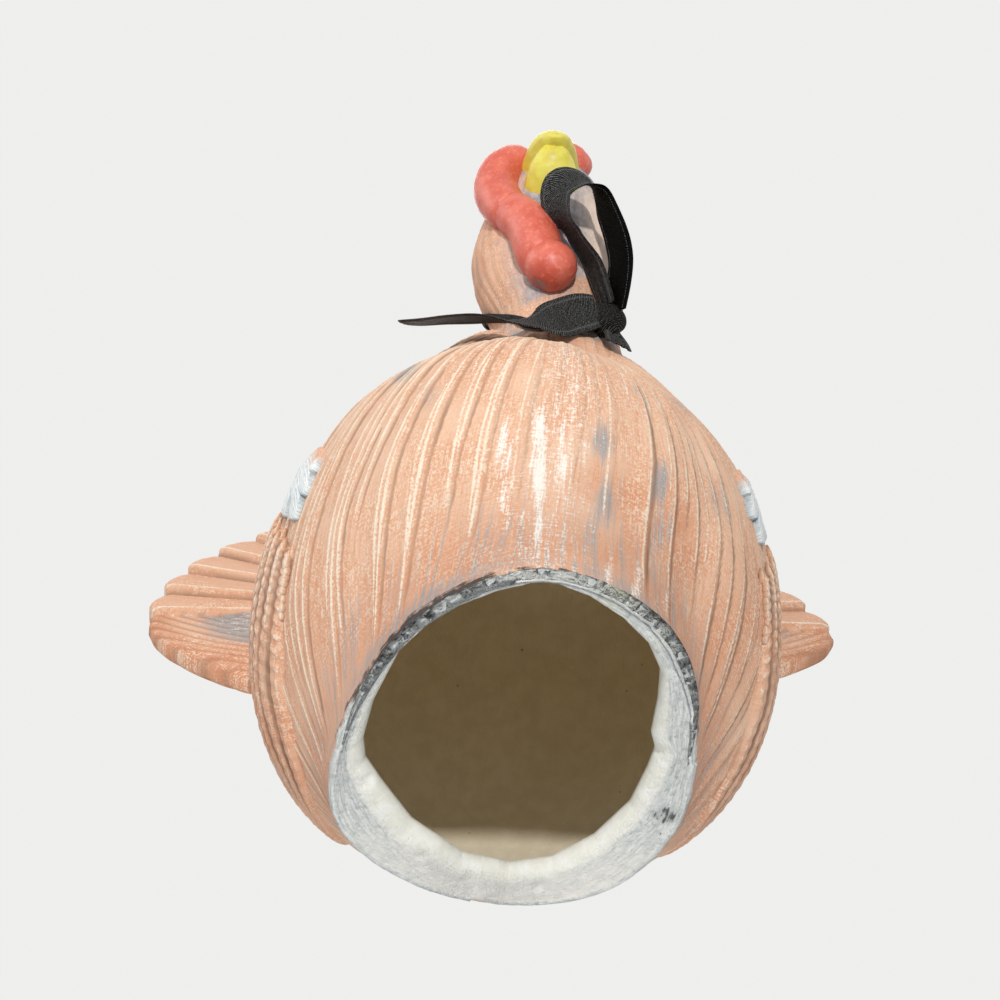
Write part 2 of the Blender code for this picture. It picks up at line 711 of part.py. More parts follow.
def main():
    clear_scene()
    peach = make_material("peach_stain", (0.78, 0.48, 0.32), 0.85)
    white = make_material("white_feather_paint", (0.82, 0.84, 0.82), 0.85)
    yellow = make_material("yellow_glaze", (0.90, 0.80, 0.12), 0.45)
    red = make_material("coral_glaze", (0.80, 0.10, 0.06), 0.40)
    black = make_material("black_ribbon", (0.012, 0.012, 0.013), 0.60)

    body_cutter = make_cutter("cutter_body", solid_body_mesh(SEAM))
    neck_cutter = make_cutter("cutter_neck", neck_mesh(SEAM))
    upper_cutter = make_cutter("cutter_upper_beak", beak_mesh(UPPER_BEAK_STATIONS, SEAM))
    lower_cutter = make_cutter("cutter_lower_beak", beak_mesh(LOWER_BEAK_STATIONS, SEAM))
    snood_cutter = make_cutter("cutter_snood", roll_mesh(SNOOD_POINTS, SNOOD_RINGS, SEAM))
    wattle_cutter = make_cutter("cutter_wattle", roll_mesh(WATTLE_POINTS, WATTLE_RINGS, SEAM))
    knot_cutter = make_cutter("cutter_knot", ball_mesh(knot_centre(), KNOT_RADII, SEAM))

    make_body_shell(peach)
    make_wings(peach)
    make_shoulder_coverts(white)
    make_tail_fan(peach, body_cutter)
    make_neck_and_head(peach, body_cutter)

    beak_upper = finish_object("beak_upper", beak_mesh(UPPER_BEAK_STATIONS, 0.0), yellow)
    cut(beak_upper, neck_cutter)
    beak_lower = finish_object("beak_lower", beak_mesh(LOWER_BEAK_STATIONS, 0.0), yellow)
    cut(beak_lower, upper_cutter, neck_cutter)
    snood = finish_object("snood", roll_mesh(SNOOD_POINTS, SNOOD_RINGS, 0.0), red)
    cut(snood, neck_cutter, upper_cutter, lower_cutter)
    caruncle_centre = neck_point(*CARUNCLE_PLACE)
    caruncle = finish_object("forehead_caruncle", ball_mesh(caruncle_centre, CARUNCLE_RADII, 0.0), red)
    cut(caruncle, neck_cutter, upper_cutter, snood_cutter)
    wattle = finish_object("throat_wattle", roll_mesh(WATTLE_POINTS, WATTLE_RINGS, 0.0), red)
    cut(wattle, neck_cutter, snood_cutter)
    ball_centre = neck_point(*WATTLE_BALL_PLACE)
    ball_radii = (WATTLE_BALL_RADIUS,) * 3
    ball = finish_object("wattle_ball", ball_mesh(ball_centre, ball_radii, 0.0), red)
    cut(ball, neck_cutter, wattle_cutter)

    make_neck_band(black, knot_cutter)
    knot = finish_object("ribbon_knot", ball_mesh(knot_centre(), KNOT_RADII, 0.0), black)
    cut(knot, neck_cutter, body_cutter)
    make_strip("ribbon_loop", LOOP_STATIONS, black, knot_cutter)
    make_strip("ribbon_long_tail", LONG_TAIL_STATIONS, black, knot_cutter)
    make_strip("ribbon_short_tail", SHORT_TAIL_STATIONS, black, knot_cutter)
    stand_at_origin()


main()
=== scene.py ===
import math

import bpy
import numpy as np
from mathutils import Matrix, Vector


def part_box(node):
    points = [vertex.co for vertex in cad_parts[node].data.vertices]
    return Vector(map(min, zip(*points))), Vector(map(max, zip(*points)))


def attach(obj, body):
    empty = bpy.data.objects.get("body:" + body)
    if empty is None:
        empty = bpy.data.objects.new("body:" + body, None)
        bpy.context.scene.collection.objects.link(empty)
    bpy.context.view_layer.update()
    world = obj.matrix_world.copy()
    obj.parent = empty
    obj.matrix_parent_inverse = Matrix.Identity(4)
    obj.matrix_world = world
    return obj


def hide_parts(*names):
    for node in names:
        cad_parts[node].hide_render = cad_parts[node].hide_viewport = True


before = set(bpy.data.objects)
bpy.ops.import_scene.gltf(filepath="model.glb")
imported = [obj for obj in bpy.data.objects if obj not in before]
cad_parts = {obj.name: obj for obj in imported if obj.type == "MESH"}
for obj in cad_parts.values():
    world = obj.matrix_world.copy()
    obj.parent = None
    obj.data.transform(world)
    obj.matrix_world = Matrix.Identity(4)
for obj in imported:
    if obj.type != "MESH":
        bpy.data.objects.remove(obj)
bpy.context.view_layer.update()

# Body sizes in metres, as the figurine's solids have them
BODY_WIDTH = 0.0996
BREAST_REACH = 0.0635
BACK_REACH = 0.0575
BREAST_TAPER = 0.062
WIDEST_HEIGHT = 0.0363
CROWN_RISE = 0.0473
BELLY_DROP = 0.0494
WALL = 0.004
RIM_RADII = (
    0.032, 0.0351, 0.039, 0.0388, 0.0385, 0.0379,
    0.0337, 0.0345, 0.0391, 0.044, 0.0417, 0.0361,
)
RIM_BLEND_HEIGHT = 0.02

# Knife-cut opening: corners as (degrees from +X, distance from the middle)
CUT_CORNERS = (
    (8.2, 0.0237), (29.4, 0.0245), (53.5, 0.0263), (73.4, 0.0286), (89.3, 0.0295),
    (107.8, 0.0286), (134.9, 0.0266), (158.3, 0.0264), (172.0, 0.0281), (181.8, 0.0284),
    (201.6, 0.0288), (225.0, 0.0321), (242.6, 0.0356), (258.7, 0.0374), (271.0, 0.0398),
    (282.8, 0.0378), (294.3, 0.0356), (305.9, 0.0334), (318.5, 0.0305), (329.9, 0.0269),
    (346.7, 0.0237), (356.0, 0.0243),
)
RIM_ROUNDING = 0.0013
BEVEL_RISE = 0.0032
# Width of the smooth bevel inside the foot, every 30 degrees from +X round by +Y
BEVEL_WIDTHS = (
    0.0034, 0.0032, 0.0034, 0.0034, 0.004, 0.0048,
    0.003, 0.0014, 0.0007, 0.0007, 0.0008, 0.0022,
)
# How dark the fired smudge round the foot is, and how far it spreads, every 30 degrees
SMUDGE_DARKNESS = (0.55, 0.4, 0.3, 0.22, 0.26, 0.42, 0.6, 0.86, 0.98, 0.74, 0.94, 0.84)
SMUDGE_SPREAD = (
    0.0004, 0.0004, 0.0004, 0.0003, 0.0003, 0.0004,
    0.0005, 0.0012, 0.0017, 0.0009, 0.0013, 0.0012,
)
FOOT_SMUDGE_SPREAD = (
    0.0006, 0.0006, 0.0005, 0.0005, 0.0005, 0.0007,
    0.001, 0.0022, 0.0018, 0.0008, 0.002, 0.002,
)

# Wings and shoulder feathers on the left side: (degrees from +X, height), front to rear
WING_LOWER_EDGE = (
    (205, 0.0225), (201, 0.02), (194, 0.0165), (184, 0.0135),
    (172, 0.011), (158, 0.01), (142, 0.013), (127, 0.019),
)
WING_UPPER_EDGE = (
    (193, 0.059), (186, 0.0575), (176, 0.051), (165, 0.043),
    (154, 0.0365), (143, 0.0315), (134, 0.027), (127, 0.024),
)
COVERT_LOWER_EDGE = ((219.5, 0.0375), (216, 0.0315), (211, 0.0275), (204.5, 0.0265))
COVERT_UPPER_EDGE = ((218, 0.05), (212, 0.056), (204, 0.059), (195.5, 0.06))

# Tail fan
FAN_SET_IN = 0.0235
FAN_CENTRE_RISE = 0.0415
FAN_RADIUS = 0.079
FAN_LEAN = 16
FAN_TURN = 3.5
FAN_ROOT_THICKNESS = 0.007
FAN_TIP_THICKNESS = 0.0036
FEATHER_COUNT = 17
LOWEST_FEATHER_ANGLE = 6
FEATHER_RELIEF = 0.0014
FEATHER_TIP_DROP = 0.0022
RELIEF_RUN = 0.7
# The fan's lower ends as they lie in the photograph: degrees below level, distance from its centre
LEFT_LOBE = ((34, 0.06), (28, 0.0645), (21, 0.068), (14, 0.073), (8, 0.0765), (3, 0.078))
RIGHT_LOBE = ((30, 0.055), (24, 0.058), (17, 0.0625), (11, 0.069), (6, 0.0745), (1, 0.078))
FOOT_RADIUS = 0.04

# Neck stations: further forward than the root, above it, half width, half depth
NECK_ROOT_SET_BACK = 0.03
NECK_SIDE_SHIFT = 0.0055
# Left and right are as in the photograph: the right is towards +X
TO_THE_RIGHT = np.array((1.0, 0.0, 0.0))
NECK_STATIONS = (
    (-0.003, -0.0128, 0.0185, 0.0168),
    (0.0, -0.0005, 0.0165, 0.015),
    (0.0027, 0.0055, 0.0146, 0.0132),
    (0.0047, 0.0105, 0.014, 0.0125),
    (0.007, 0.016, 0.0149, 0.0127),
    (0.0095, 0.0225, 0.0162, 0.0133),
    (0.0117, 0.0295, 0.0167, 0.0136),
    (0.0143, 0.0365, 0.0153, 0.0132),
    (0.0172, 0.043, 0.0128, 0.0123),
    (0.0195, 0.0485, 0.0101, 0.0104),
    (0.021, 0.0525, 0.0066, 0.0068),
    (0.0219, 0.0546, 0.003, 0.0032),
)
HEAD_STATION = 8
CROWN_TIP_SHARE = 0.4

BEAK_SIDE_SHIFT = -0.0008
UPPER_BEAK_STATIONS = (
    (0.0055, 0.0008, 0.0064, 0.0048),
    (0.0106, 0.0013, 0.0061, 0.0046),
    (0.015, 0.0006, 0.0051, 0.004),
    (0.0183, -0.0009, 0.0034, 0.0029),
    (0.0198, -0.0021, 0.0016, 0.0015),
)
LOWER_BEAK_STATIONS = (
    (0.0035, -0.0068, 0.006, 0.0052),
    (0.0086, -0.0064, 0.0059, 0.0047),
    (0.0133, -0.0055, 0.005, 0.0038),
    (0.0165, -0.0044, 0.0032, 0.0026),
    (0.0178, -0.0038, 0.0015, 0.0013),
)
BEAK_TIP_SHARE = 0.5

# Red skin: share of the way up the neck, angle from its front, stand-off, and a roll's radius
CARUNCLE_PLACE = (0.96, -22, -0.0004)
CARUNCLE_RADII = (0.0076, 0.005, 0.0054)
SNOOD_POINTS = (
    (0.88, 46, 0.0016, 0.004),
    (0.8, 58, 0.0022, 0.0048),
    (0.708, 56, 0.0014, 0.005),
    (0.609, 39, 0.0006, 0.0047),
    (0.56, 29, 0.0006, 0.0042),
)
# The column starts inside the snood, so that the two show no joint
WATTLE_POINTS = (
    (0.62, 40, 0.0002, 0.0038),
    (0.56, 28, 0.0006, 0.0047),
    (0.505, 19, 0.0008, 0.005),
    (0.443, 14, 0.001, 0.0051),
    (0.385, 12, 0.0006, 0.0049),
)
WATTLE_BALL_PLACE = (0.365, 5, 0.0025)
WATTLE_BALL_RADIUS = 0.0053
ROLL_END_SHARE = 0.55

# Ribbon
RIBBON_WIDTH = 0.0095
RIBBON_THICKNESS = 0.0006
BAND_FRONT_CLIMB = 0.144
BAND_NAPE_CLIMB = 0.4
BAND_WIDTH = 0.002
BAND_THICKNESS = 0.0009
KNOT_ANGLE = -38
KNOT_STAND_OFF = 0.0022
KNOT_RADII = (0.0036, 0.0032, 0.0044)
# Strip stations from the knot's centre: place, edge direction, share of the width
LOOP_STATIONS = (
    (-0.0001, -0.0021, 0.0015, -0.39, 0.38, 0.84, 0.7),
    (-0.0033, -0.0077, 0.0085, -0.42, 0.22, 0.88, 0.92),
    (-0.007, -0.0117, 0.0129, -0.41, 0.21, 0.89, 1.0),
    (-0.0097, -0.0147, 0.0155, -0.44, 0.11, 0.89, 1.0),
    (-0.011, -0.0172, 0.019, -0.48, -0.03, 0.88, 1.0),
    (-0.0103, -0.0194, 0.0209, -0.44, -0.16, 0.88, 1.0),
    (-0.0081, -0.0203, 0.0213, -0.28, -0.1, 0.95, 1.0),
    (-0.0049, -0.0201, 0.0207, -0.16, 0.17, 0.97, 1.0),
    (-0.0025, -0.0185, 0.0191, -0.3, 0.38, 0.88, 1.0),
    (-0.0007, -0.0162, 0.016, -0.35, 0.51, 0.79, 1.0),
    (0.001, -0.0132, 0.0121, -0.38, 0.49, 0.78, 1.0),
    (0.002, -0.01, 0.0078, -0.39, 0.46, 0.8, 1.0),
    (0.0018, -0.006, 0.0037, -0.41, 0.44, 0.8, 1.0),
    (0.0015, -0.002, 0.0006, -0.39, 0.42, 0.82, 0.85),
)
LONG_TAIL_STATIONS = (
    (-0.002, -0.0023, 0.0, -0.46, -0.43, 0.77, 0.8),
    (-0.005, -0.0025, -0.0016, -0.37, -0.38, 0.85, 1.0),
    (-0.0091, -0.0026, -0.0046, -0.16, -0.3, 0.94, 1.0),
    (-0.0123, -0.0031, -0.0082, -0.04, -0.03, 1.0, 1.0),
    (-0.0156, -0.0036, -0.0096, 0.02, 0.29, 0.96, 1.0),
    (-0.0197, -0.0038, -0.0099, 0.05, 0.44, 0.9, 1.0),
    (-0.0234, -0.0036, -0.0091, 0.06, 0.58, 0.81, 1.0),
    (-0.0276, -0.0032, -0.0086, 0.05, 0.65, 0.76, 1.0),
    (-0.0324, -0.0027, -0.0086, 0.03, 0.63, 0.77, 1.0),
    (-0.0373, -0.0017, -0.0084, 0.02, 0.6, 0.8, 1.0),
    (-0.0408, -0.0009, -0.0077, 0.0, 0.56, 0.83, 0.9),
)
SHORT_TAIL_STATIONS = (
    (0.001, 0.0006, -0.0029, 0.58, 0.38, 0.72, 0.5),
    (0.0016, 0.0013, -0.0049, 0.58, 0.38, 0.72, 0.8),
    (0.0021, 0.0019, -0.0066, 0.58, 0.38, 0.72, 0.85),
)

# Where the body stands in the shared frame: its own middle axis and foot are moved by this much
BODY_LOW, BODY_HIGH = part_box("body_shell")
BODY_PLACE = np.array(((BODY_LOW.x + BODY_HIGH.x) / 2.0, BODY_LOW.y + BREAST_REACH, 0.0))

# Numbers that stay the same from run to run
RANDOM = np.random.default_rng(17)
LATTICE_SIZE = 40
LATTICE = RANDOM.random((LATTICE_SIZE, LATTICE_SIZE, LATTICE_SIZE))


# Reading tables and smooth shares

def held(share):
    return np.clip(share, 0.0, 1.0)


def smooth(share):
    share = held(share)
    return share * share * (3.0 - 2.0 * share)


def ramp(value, low, high):
    """0 below low, 1 above high and smooth in between."""
    return smooth((value - low) / (high - low))


def mix(start, end, share):
    return start + (end - start) * share


def hump(value, middle, half_width):
    """1 at the middle and 0 beyond the half width."""
    return smooth(1.0 - np.abs(value - middle) / half_width)


def arch(share):
    """Half circle: 1 at 0 and 0 at -1 and 1."""
    return np.sqrt(held(1.0 - share ** 2))


def short_way(degrees):
    """The same direction, from -180 to 180 degrees."""
    return (degrees + 180.0) % 360.0 - 180.0


def curve_between(before, here, there, after, t):
    """Smooth curve from here to there at the shares t of the way, by the points before and after."""
    bend = (2.0 * before - 5.0 * here + 4.0 * there - after) * t * t
    twist = (3.0 * here - before - 3.0 * there + after) * t * t * t
    return 0.5 * (2.0 * here + (there - before) * t + bend + twist)


def curve_through(points, share):
    """Smooth curve that passes through the points, read at each share of its length."""
    table = np.asarray(points, float)
    last = len(table) - 1
    place = held(share) * last
    index = np.minimum(place.astype(int), last - 1)
    t = (place - index)[..., None]
    before, after = table[np.maximum(index - 1, 0)], table[np.minimum(index + 2, last)]
    return curve_between(before, table[index], table[index + 1], after, t)


def ring_reading(values, degrees):
    """Smooth reading of values that are spaced evenly round a circle."""
    table = np.asarray(values, float)
    count = len(table)
    place = (np.asarray(degrees, float) % 360.0) / 360.0 * count
    index = place.astype(int)
    return curve_between(*(table[(index + step) % count] for step in (-1, 0, 1, 2)), place - index)


def lattice_reading(points):
    cell = np.floor(points)
    part = smooth(points - cell)
    low = cell.astype(int) % LATTICE_SIZE
    high = (low + 1) % LATTICE_SIZE
    total = 0.0
    for corner in range(8):
        picks = [(corner >> axis) & 1 for axis in range(3)]
        weight = 1.0
        place = []
        for axis, pick in enumerate(picks):
            weight = weight * (part[..., axis] if pick else 1.0 - part[..., axis])
            place.append((high if pick else low)[..., axis])
        total = total + weight * LATTICE[tuple(place)]
    return total


def clouds(points, grain, layers=3, shift=0.0):
    """Smooth unevenness from -1 to 1; the grain is its coarsest size in metres."""
    total = 0.0
    strength = 1.0
    reach = 0.0
    for layer in range(layers):
        scale = 2.0 ** layer / np.asarray(grain, float)
        total = total + strength * (2.0 * lattice_reading(points * scale + shift + 7.3 * layer) - 1.0)
        reach += strength
        strength *= 0.5
    return total / reach * 1.6


# Turning points into meshes

def grid_quads(rows, columns, wraps):
    row = np.arange(rows - 1)[:, None] * columns
    column = np.arange(columns if wraps else columns - 1)[None, :]
    following = (column + 1) % columns
    corners = (row + column, row + following, row + columns + following, row + columns + column)
    return np.stack(np.broadcast_arrays(*corners), -1).reshape(-1, 4)


def fan_triangles(ring, tip, flip):
    following = np.roll(ring, -1)
    corners = (following, ring) if flip else (ring, following)
    return np.stack((*corners, np.full(len(ring), tip)), -1)


def closed_ends(rows, columns):
    """Triangles that close a round grid's first and last rows onto two end points."""
    total = rows * columns
    ring = np.arange(columns)
    first = fan_triangles(ring, total, True)
    last = fan_triangles(ring + total - columns, total + 1, False)
    return np.concatenate((first, last))


def with_ends(values):
    """A mark's values on a round grid, then on its two end points."""
    return np.append(values.ravel(), (values[0, 0], values[-1, 0]))


def round_form(points, ends, marks):
    """Shape of a round grid that is closed onto a point at each end."""
    rows, columns = points.shape[:2]
    return {
        "points": np.concatenate((points.reshape(-1, 3), ends)),
        "quads": grid_quads(rows, columns, True),
        "triangles": closed_ends(rows, columns),
        "marks": {name: with_ends(values) for name, values in marks.items()},
    }


def round_grid(rows, columns, whole):
    """Shares along a round form, and angles round it in parts of the whole turn, as two grids."""
    return np.meshgrid(np.linspace(0.0, 1.0, rows), np.arange(columns) * whole / columns, indexing="ij")


def flow_grid(across, along):
    """Flow map with one pair of distances for each point of a grid."""
    return np.stack(np.broadcast_arrays(across, along), -1).reshape(-1, 2)


def length_along(points):
    return np.append(0.0, np.cumsum(np.linalg.norm(np.diff(points, axis=0), axis=1)))


def directions(vectors):
    return vectors / np.maximum(np.linalg.norm(vectors, axis=-1, keepdims=True), 1e-12)


def grid_normals(points, wraps):
    """Direction across rows and columns at each point of a grid, by the points round it."""
    down = np.gradient(points, axis=0)
    if wraps:
        across = np.roll(points, -1, axis=1) - np.roll(points, 1, axis=1)
    else:
        across = np.gradient(points, axis=1)
    return directions(np.cross(across, down))


def signed_volume(points, quads, triangles):
    parts = [quads[:, [0, 1, 2]], quads[:, [0, 2, 3]]]
    if len(triangles):
        parts.append(triangles)
    faces = np.concatenate(parts)
    a, b, c = (points[faces[:, corner]] for corner in range(3))
    return float(np.einsum("ij,ij->i", a, np.cross(b, c)).sum() / 6.0)


def in_scene(name, data):
    """New object in the scene for a mesh, a camera or a lamp."""
    made = bpy.data.objects.new(name, data)
    bpy.context.scene.collection.objects.link(made)
    return made


def add_mark(mesh, name, values):
    layer = mesh.attributes.new(name, "FLOAT", "POINT")
    layer.data.foreach_set("value", np.asarray(values, np.float32).ravel())


def add_flow(mesh, flow, quads, triangles, period):
    """Flow map; a face that lies over the seam has all its corners on the seam's far side."""
    corners = flow[np.concatenate((quads.ravel(), triangles.ravel()))]
    for faces, start in ((quads, 0), (triangles, quads.size)):
        if period and len(faces):
            across = corners[start:start + faces.size, 0].reshape(faces.shape)
            on_seam = np.ptp(across, axis=1, keepdims=True) > period / 2.0
            across += period * (on_seam & (across < period / 2.0))
    layer = mesh.uv_layers.new(name="flow")
    layer.data.foreach_set("uv", corners.astype(np.float32).ravel())


NO_TRIANGLES = np.zeros((0, 3), int)


def make_piece(name, shape, material, node):
    """A finished piece of the figurine from its points, faces, marks and flow map."""
    points = shape["points"] + BODY_PLACE
    quads = shape["quads"]
    triangles = shape.get("triangles", NO_TRIANGLES)
    if signed_volume(points, quads, triangles) < 0.0:
        quads = quads[:, ::-1]
        triangles = triangles[:, ::-1]
    mesh = bpy.data.meshes.new(name)
    mesh.from_pydata(points.tolist(), [], quads.tolist() + triangles.tolist())
    for mark, values in shape["marks"].items():
        add_mark(mesh, mark, values)
    if "flow" in shape:
        add_flow(mesh, shape["flow"], quads, triangles, shape.get("flow_period"))
    mesh.shade_smooth()
    mesh.materials.append(material)
    piece = in_scene(name, mesh)
    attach(piece, "root")
    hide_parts(node)


# Materials

def add_node(tree, kind, **settings):
    node = tree.nodes.new(kind)
    for key, value in settings.items():
        setattr(node, key, value)
    return node


# A mix node's colour sockets go by number, because their names repeat
MIX_FIRST = 6
MIX_SECOND = 7
MIX_RESULT = 2


class Finish:
    """A material's nodes, with one short call for each kind that the finishes use."""

    def __init__(self, name, roughness, specular):
        self.material = bpy.data.materials.new(name)
        self.material.use_nodes = True
        self.tree = self.material.node_tree
        self.shader = self.tree.nodes["Principled BSDF"]
        self.shader.inputs["Roughness"].default_value = roughness
        self.shader.inputs["Specular IOR Level"].default_value = specular
        self.normal = None
        self.tone = None

    def feed(self, socket, value):
        if isinstance(value, bpy.types.NodeSocket):
            self.tree.links.new(value, socket)
        elif isinstance(value, tuple) and socket.type == "RGBA":
            socket.default_value = (*value, 1.0)
        else:
            socket.default_value = value

    def node(self, kind, inputs=None, **settings):
        """A new node, with its inputs fed by numbers, colours or other nodes' outputs."""
        node = add_node(self.tree, kind, **settings)
        for socket, value in (inputs or {}).items():
            self.feed(node.inputs[socket], value)
        return node

    def mark(self, name):
        return self.node("ShaderNodeAttribute", attribute_name=name).outputs["Fac"]

    def place(self, stretch=(1.0, 1.0, 1.0), flow=False):
        """The point on the piece, or along its flow map, stretched."""
        if flow:
            source = self.node("ShaderNodeUVMap", uv_map="flow").outputs["UV"]
        else:
            source = self.node("ShaderNodeTexCoord").outputs["Object"]
        return self.node("ShaderNodeMapping", {"Vector": source, "Scale": stretch}).outputs["Vector"]

    def noise(self, place, scale, detail, rough):
        inputs = {"Vector": place, "Scale": scale, "Detail": detail, "Roughness": rough}
        return self.node("ShaderNodeTexNoise", inputs).outputs["Fac"]

    def grain(self, scale, detail, rough):
        """Even noise on the piece, in grains to the metre."""
        return self.noise(self.place(), scale, detail, rough)

    def brushed(self, across, along, detail, rough):
        """Noise in grains to the metre across the feathers and along them."""
        return self.noise(self.place((across, along, 1.0), flow=True), 1.0, detail, rough)

    def cells(self, scale):
        inputs = {"Vector": self.place(), "Scale": scale}
        return self.node("ShaderNodeTexVoronoi", inputs).outputs["Distance"]

    def ribs(self, across, along, bend):
        """Slanting waves, in waves to the metre across the ribbon and along it."""
        place = self.place((across, along, 0.0), flow=True)
        inputs = {"Vector": place, "Scale": 1.0, "Distortion": bend, "Detail": 2.0}
        return self.node("ShaderNodeTexWave", inputs, bands_direction="DIAGONAL").outputs["Fac"]

    def between(self, value, low, high, start=0.0, end=1.0):
        """start below low, end above high and smooth in between."""
        inputs = {"Value": value, "From Min": low, "From Max": high, "To Min": start, "To Max": end}
        return self.node("ShaderNodeMapRange", inputs, interpolation_type="SMOOTHSTEP").outputs["Result"]

    def reckon(self, operation, *values):
        return self.node("ShaderNodeMath", dict(enumerate(values)), operation=operation).outputs["Value"]

    def times(self, first, second):
        return self.reckon("MULTIPLY", first, second)

    def plus(self, first, second):
        return self.reckon("ADD", first, second)

    def total(self, start, *parts):
        """A start plus other values, each given with its weight."""
        for value, weight in parts:
            start = self.reckon("MULTIPLY_ADD", value, weight, start)
        return start

    def colour(self, share, first, second):
        inputs = {"Factor": share, MIX_FIRST: first, MIX_SECOND: second}
        return self.node("ShaderNodeMix", inputs, data_type="RGBA", clamp_factor=True).outputs[MIX_RESULT]

    def bump(self, height, distance, strength):
        inputs = {"Height": height, "Distance": distance, "Strength": strength}
        if self.normal is not None:
            inputs["Normal"] = self.normal
        self.normal = self.node("ShaderNodeBump", inputs).outputs["Normal"]

    def lay(self, share, colour):
        """Lay a colour over the ones so far, by its share."""
        self.tone = self.colour(share, self.tone, colour)

    def done(self, roughness=None):
        self.feed(self.shader.inputs["Base Color"], self.tone)
        if roughness is not None:
            self.feed(self.shader.inputs["Roughness"], roughness)
        if self.normal is not None:
            self.feed(self.shader.inputs["Normal"], self.normal)
        return self.material


PEACH = (0.7, 0.385, 0.24)
PALE_PEACH = (0.77, 0.51, 0.355)
TERRACOTTA = (0.59, 0.235, 0.115)
CREAM = (0.85, 0.74, 0.59)
CREST_CREAM = (0.86, 0.765, 0.61)
CHALK = (0.87, 0.84, 0.77)
BLUE_GREY = (0.3, 0.31, 0.32)
UMBER = (0.23, 0.13, 0.085)
CHARCOAL = (0.022, 0.022, 0.024)
FOOT_GREY = (0.58, 0.605, 0.58)
PALE_FOOT = (0.83, 0.84, 0.8)
FOOT_GRIT = (0.33, 0.35, 0.34)
YELLOW_SPILL = (0.62, 0.6, 0.22)
BEVEL_WHITE = (0.87, 0.865, 0.8)
BEVEL_BUFF = (0.8, 0.79, 0.7)
BISQUE = (0.72, 0.59, 0.37)
DARK_BISQUE = (0.66, 0.53, 0.32)
WHITE_PAINT = (0.7, 0.74, 0.735)
PALE_WHITE_PAINT = (0.8, 0.83, 0.81)
BARB_WHITE = (0.88, 0.9, 0.88)
SLATE = (0.25, 0.3, 0.335)
GREY_SKIN = (0.235, 0.22, 0.24)
PALE_GREY_SKIN = (0.44, 0.41, 0.425)
BUFF_SKIN = (0.74, 0.58, 0.47)
EYE_BLACK = (0.012, 0.01, 0.01)
YELLOW = (0.66, 0.55, 0.05)
PALE_YELLOW = (0.74, 0.67, 0.115)
BEAK_SMEAR = (0.4, 0.39, 0.33)
MOUTH_LINE = (0.2, 0.17, 0.09)
CORAL = (0.6, 0.098, 0.058)
PALE_CORAL = (0.69, 0.15, 0.096)
PAINTED_CORAL_SHEEN = (0.86, 0.31, 0.22)
CORAL_CREASE_SHADE = (0.23, 0.19, 0.2)
RIBBON_BLACK = (0.0008, 0.0008, 0.0008)
LINT_BLACK = (0.004, 0.004, 0.004)
WEAVE_SHEEN_GREY = (0.17, 0.17, 0.165)
WELT_GREY = (0.13, 0.13, 0.128)
THREAD_BLACK = (0.03, 0.03, 0.031)
THREAD_GREY = (0.16, 0.16, 0.165)
PALE_GROUND = (0.86, 0.86, 0.85)


def stained_colour(finish):
    """Dry-brushed peach stain with cream crests, umber painted shade in the grooves and beside each crest,
    washes that also carry painted shade, and chalk streaks.
    """
    streaks = finish.brushed(1500.0, 75.0, 4.0, 0.6)
    fine_streaks = finish.brushed(4200.0, 300.0, 3.0, 0.6)
    strokes_across = finish.brushed(420.0, 3400.0, 3.0, 0.6)
    powder = finish.grain(2300.0, 2.0, 0.6)
    patches = finish.grain(75.0, 3.0, 0.55)
    finish.tone = finish.colour(finish.between(patches, 0.38, 0.66), PEACH, PALE_PEACH)
    finish.lay(finish.between(streaks, 0.5, 0.3, 0.0, 0.4), TERRACOTTA)
    orange = finish.times(finish.mark("orange"), finish.between(fine_streaks, 0.25, 0.6, 0.5, 0.95))
    finish.lay(orange, TERRACOTTA)
    wash_and_shade = finish.total(finish.mark("wash_and_shade"), (streaks, 1.5), (powder, 0.6))
    finish.lay(finish.between(wash_and_shade, 1.28, 1.78, 0.0, 0.85), BLUE_GREY)
    # Umber painted shade, in the grooves and on the steep side of each feather
    dark_lines_and_shade = finish.times(finish.mark("dark_lines_and_shade"), finish.between(patches, 0.35, 0.65, 0.45, 0.9))
    finish.lay(dark_lines_and_shade, UMBER)
    hatch = finish.total(0.0, (fine_streaks, 0.45), (strokes_across, 0.35), (powder, 0.45))
    raised = finish.between(finish.plus(finish.mark("dark_lines_and_shade"), finish.mark("wash_and_shade")), 0.15, 0.75, 1.0, 0.25)
    raised = finish.times(raised, finish.between(patches, 0.4, 0.6, 0.65, 0.15))
    dusting = finish.times(raised, finish.between(hatch, 0.58, 0.74))
    finish.lay(dusting, CREAM)
    crest = finish.total(finish.mark("crest"), (streaks, 0.9), (powder, 0.7))
    finish.lay(finish.between(crest, 1.43, 1.82, 0.0, 0.88), CREST_CREAM)
    finish.lay(finish.between(powder, 0.4, 0.28, 0.0, 0.35), TERRACOTTA)
    chalk = finish.total(finish.mark("chalk"), (hatch, 2.0), (streaks, 1.2))
    finish.lay(finish.between(chalk, 2.15, 2.65, 0.0, 0.9), CHALK)
    finish.bump(hatch, 0.0003, 0.7)
    finish.bump(streaks, 0.00016, 0.6)


def foot_colour(finish, fibres, grit, lumps):
    """Bare foot with pale scrapes, grey grit, chalk and a spill of yellow."""
    colour = finish.colour(finish.between(fibres, 0.38, 0.62), FOOT_GREY, PALE_FOOT)
    colour = finish.colour(finish.between(grit, 0.5, 0.34, 0.0, 0.45), colour, FOOT_GRIT)
    chalk = finish.times(finish.mark("chalk"), finish.between(lumps, 0.3, 0.6, 0.55, 1.0))
    colour = finish.colour(chalk, colour, CHALK)
    return finish.colour(finish.times(finish.mark("stain"), 0.35), colour, YELLOW_SPILL)


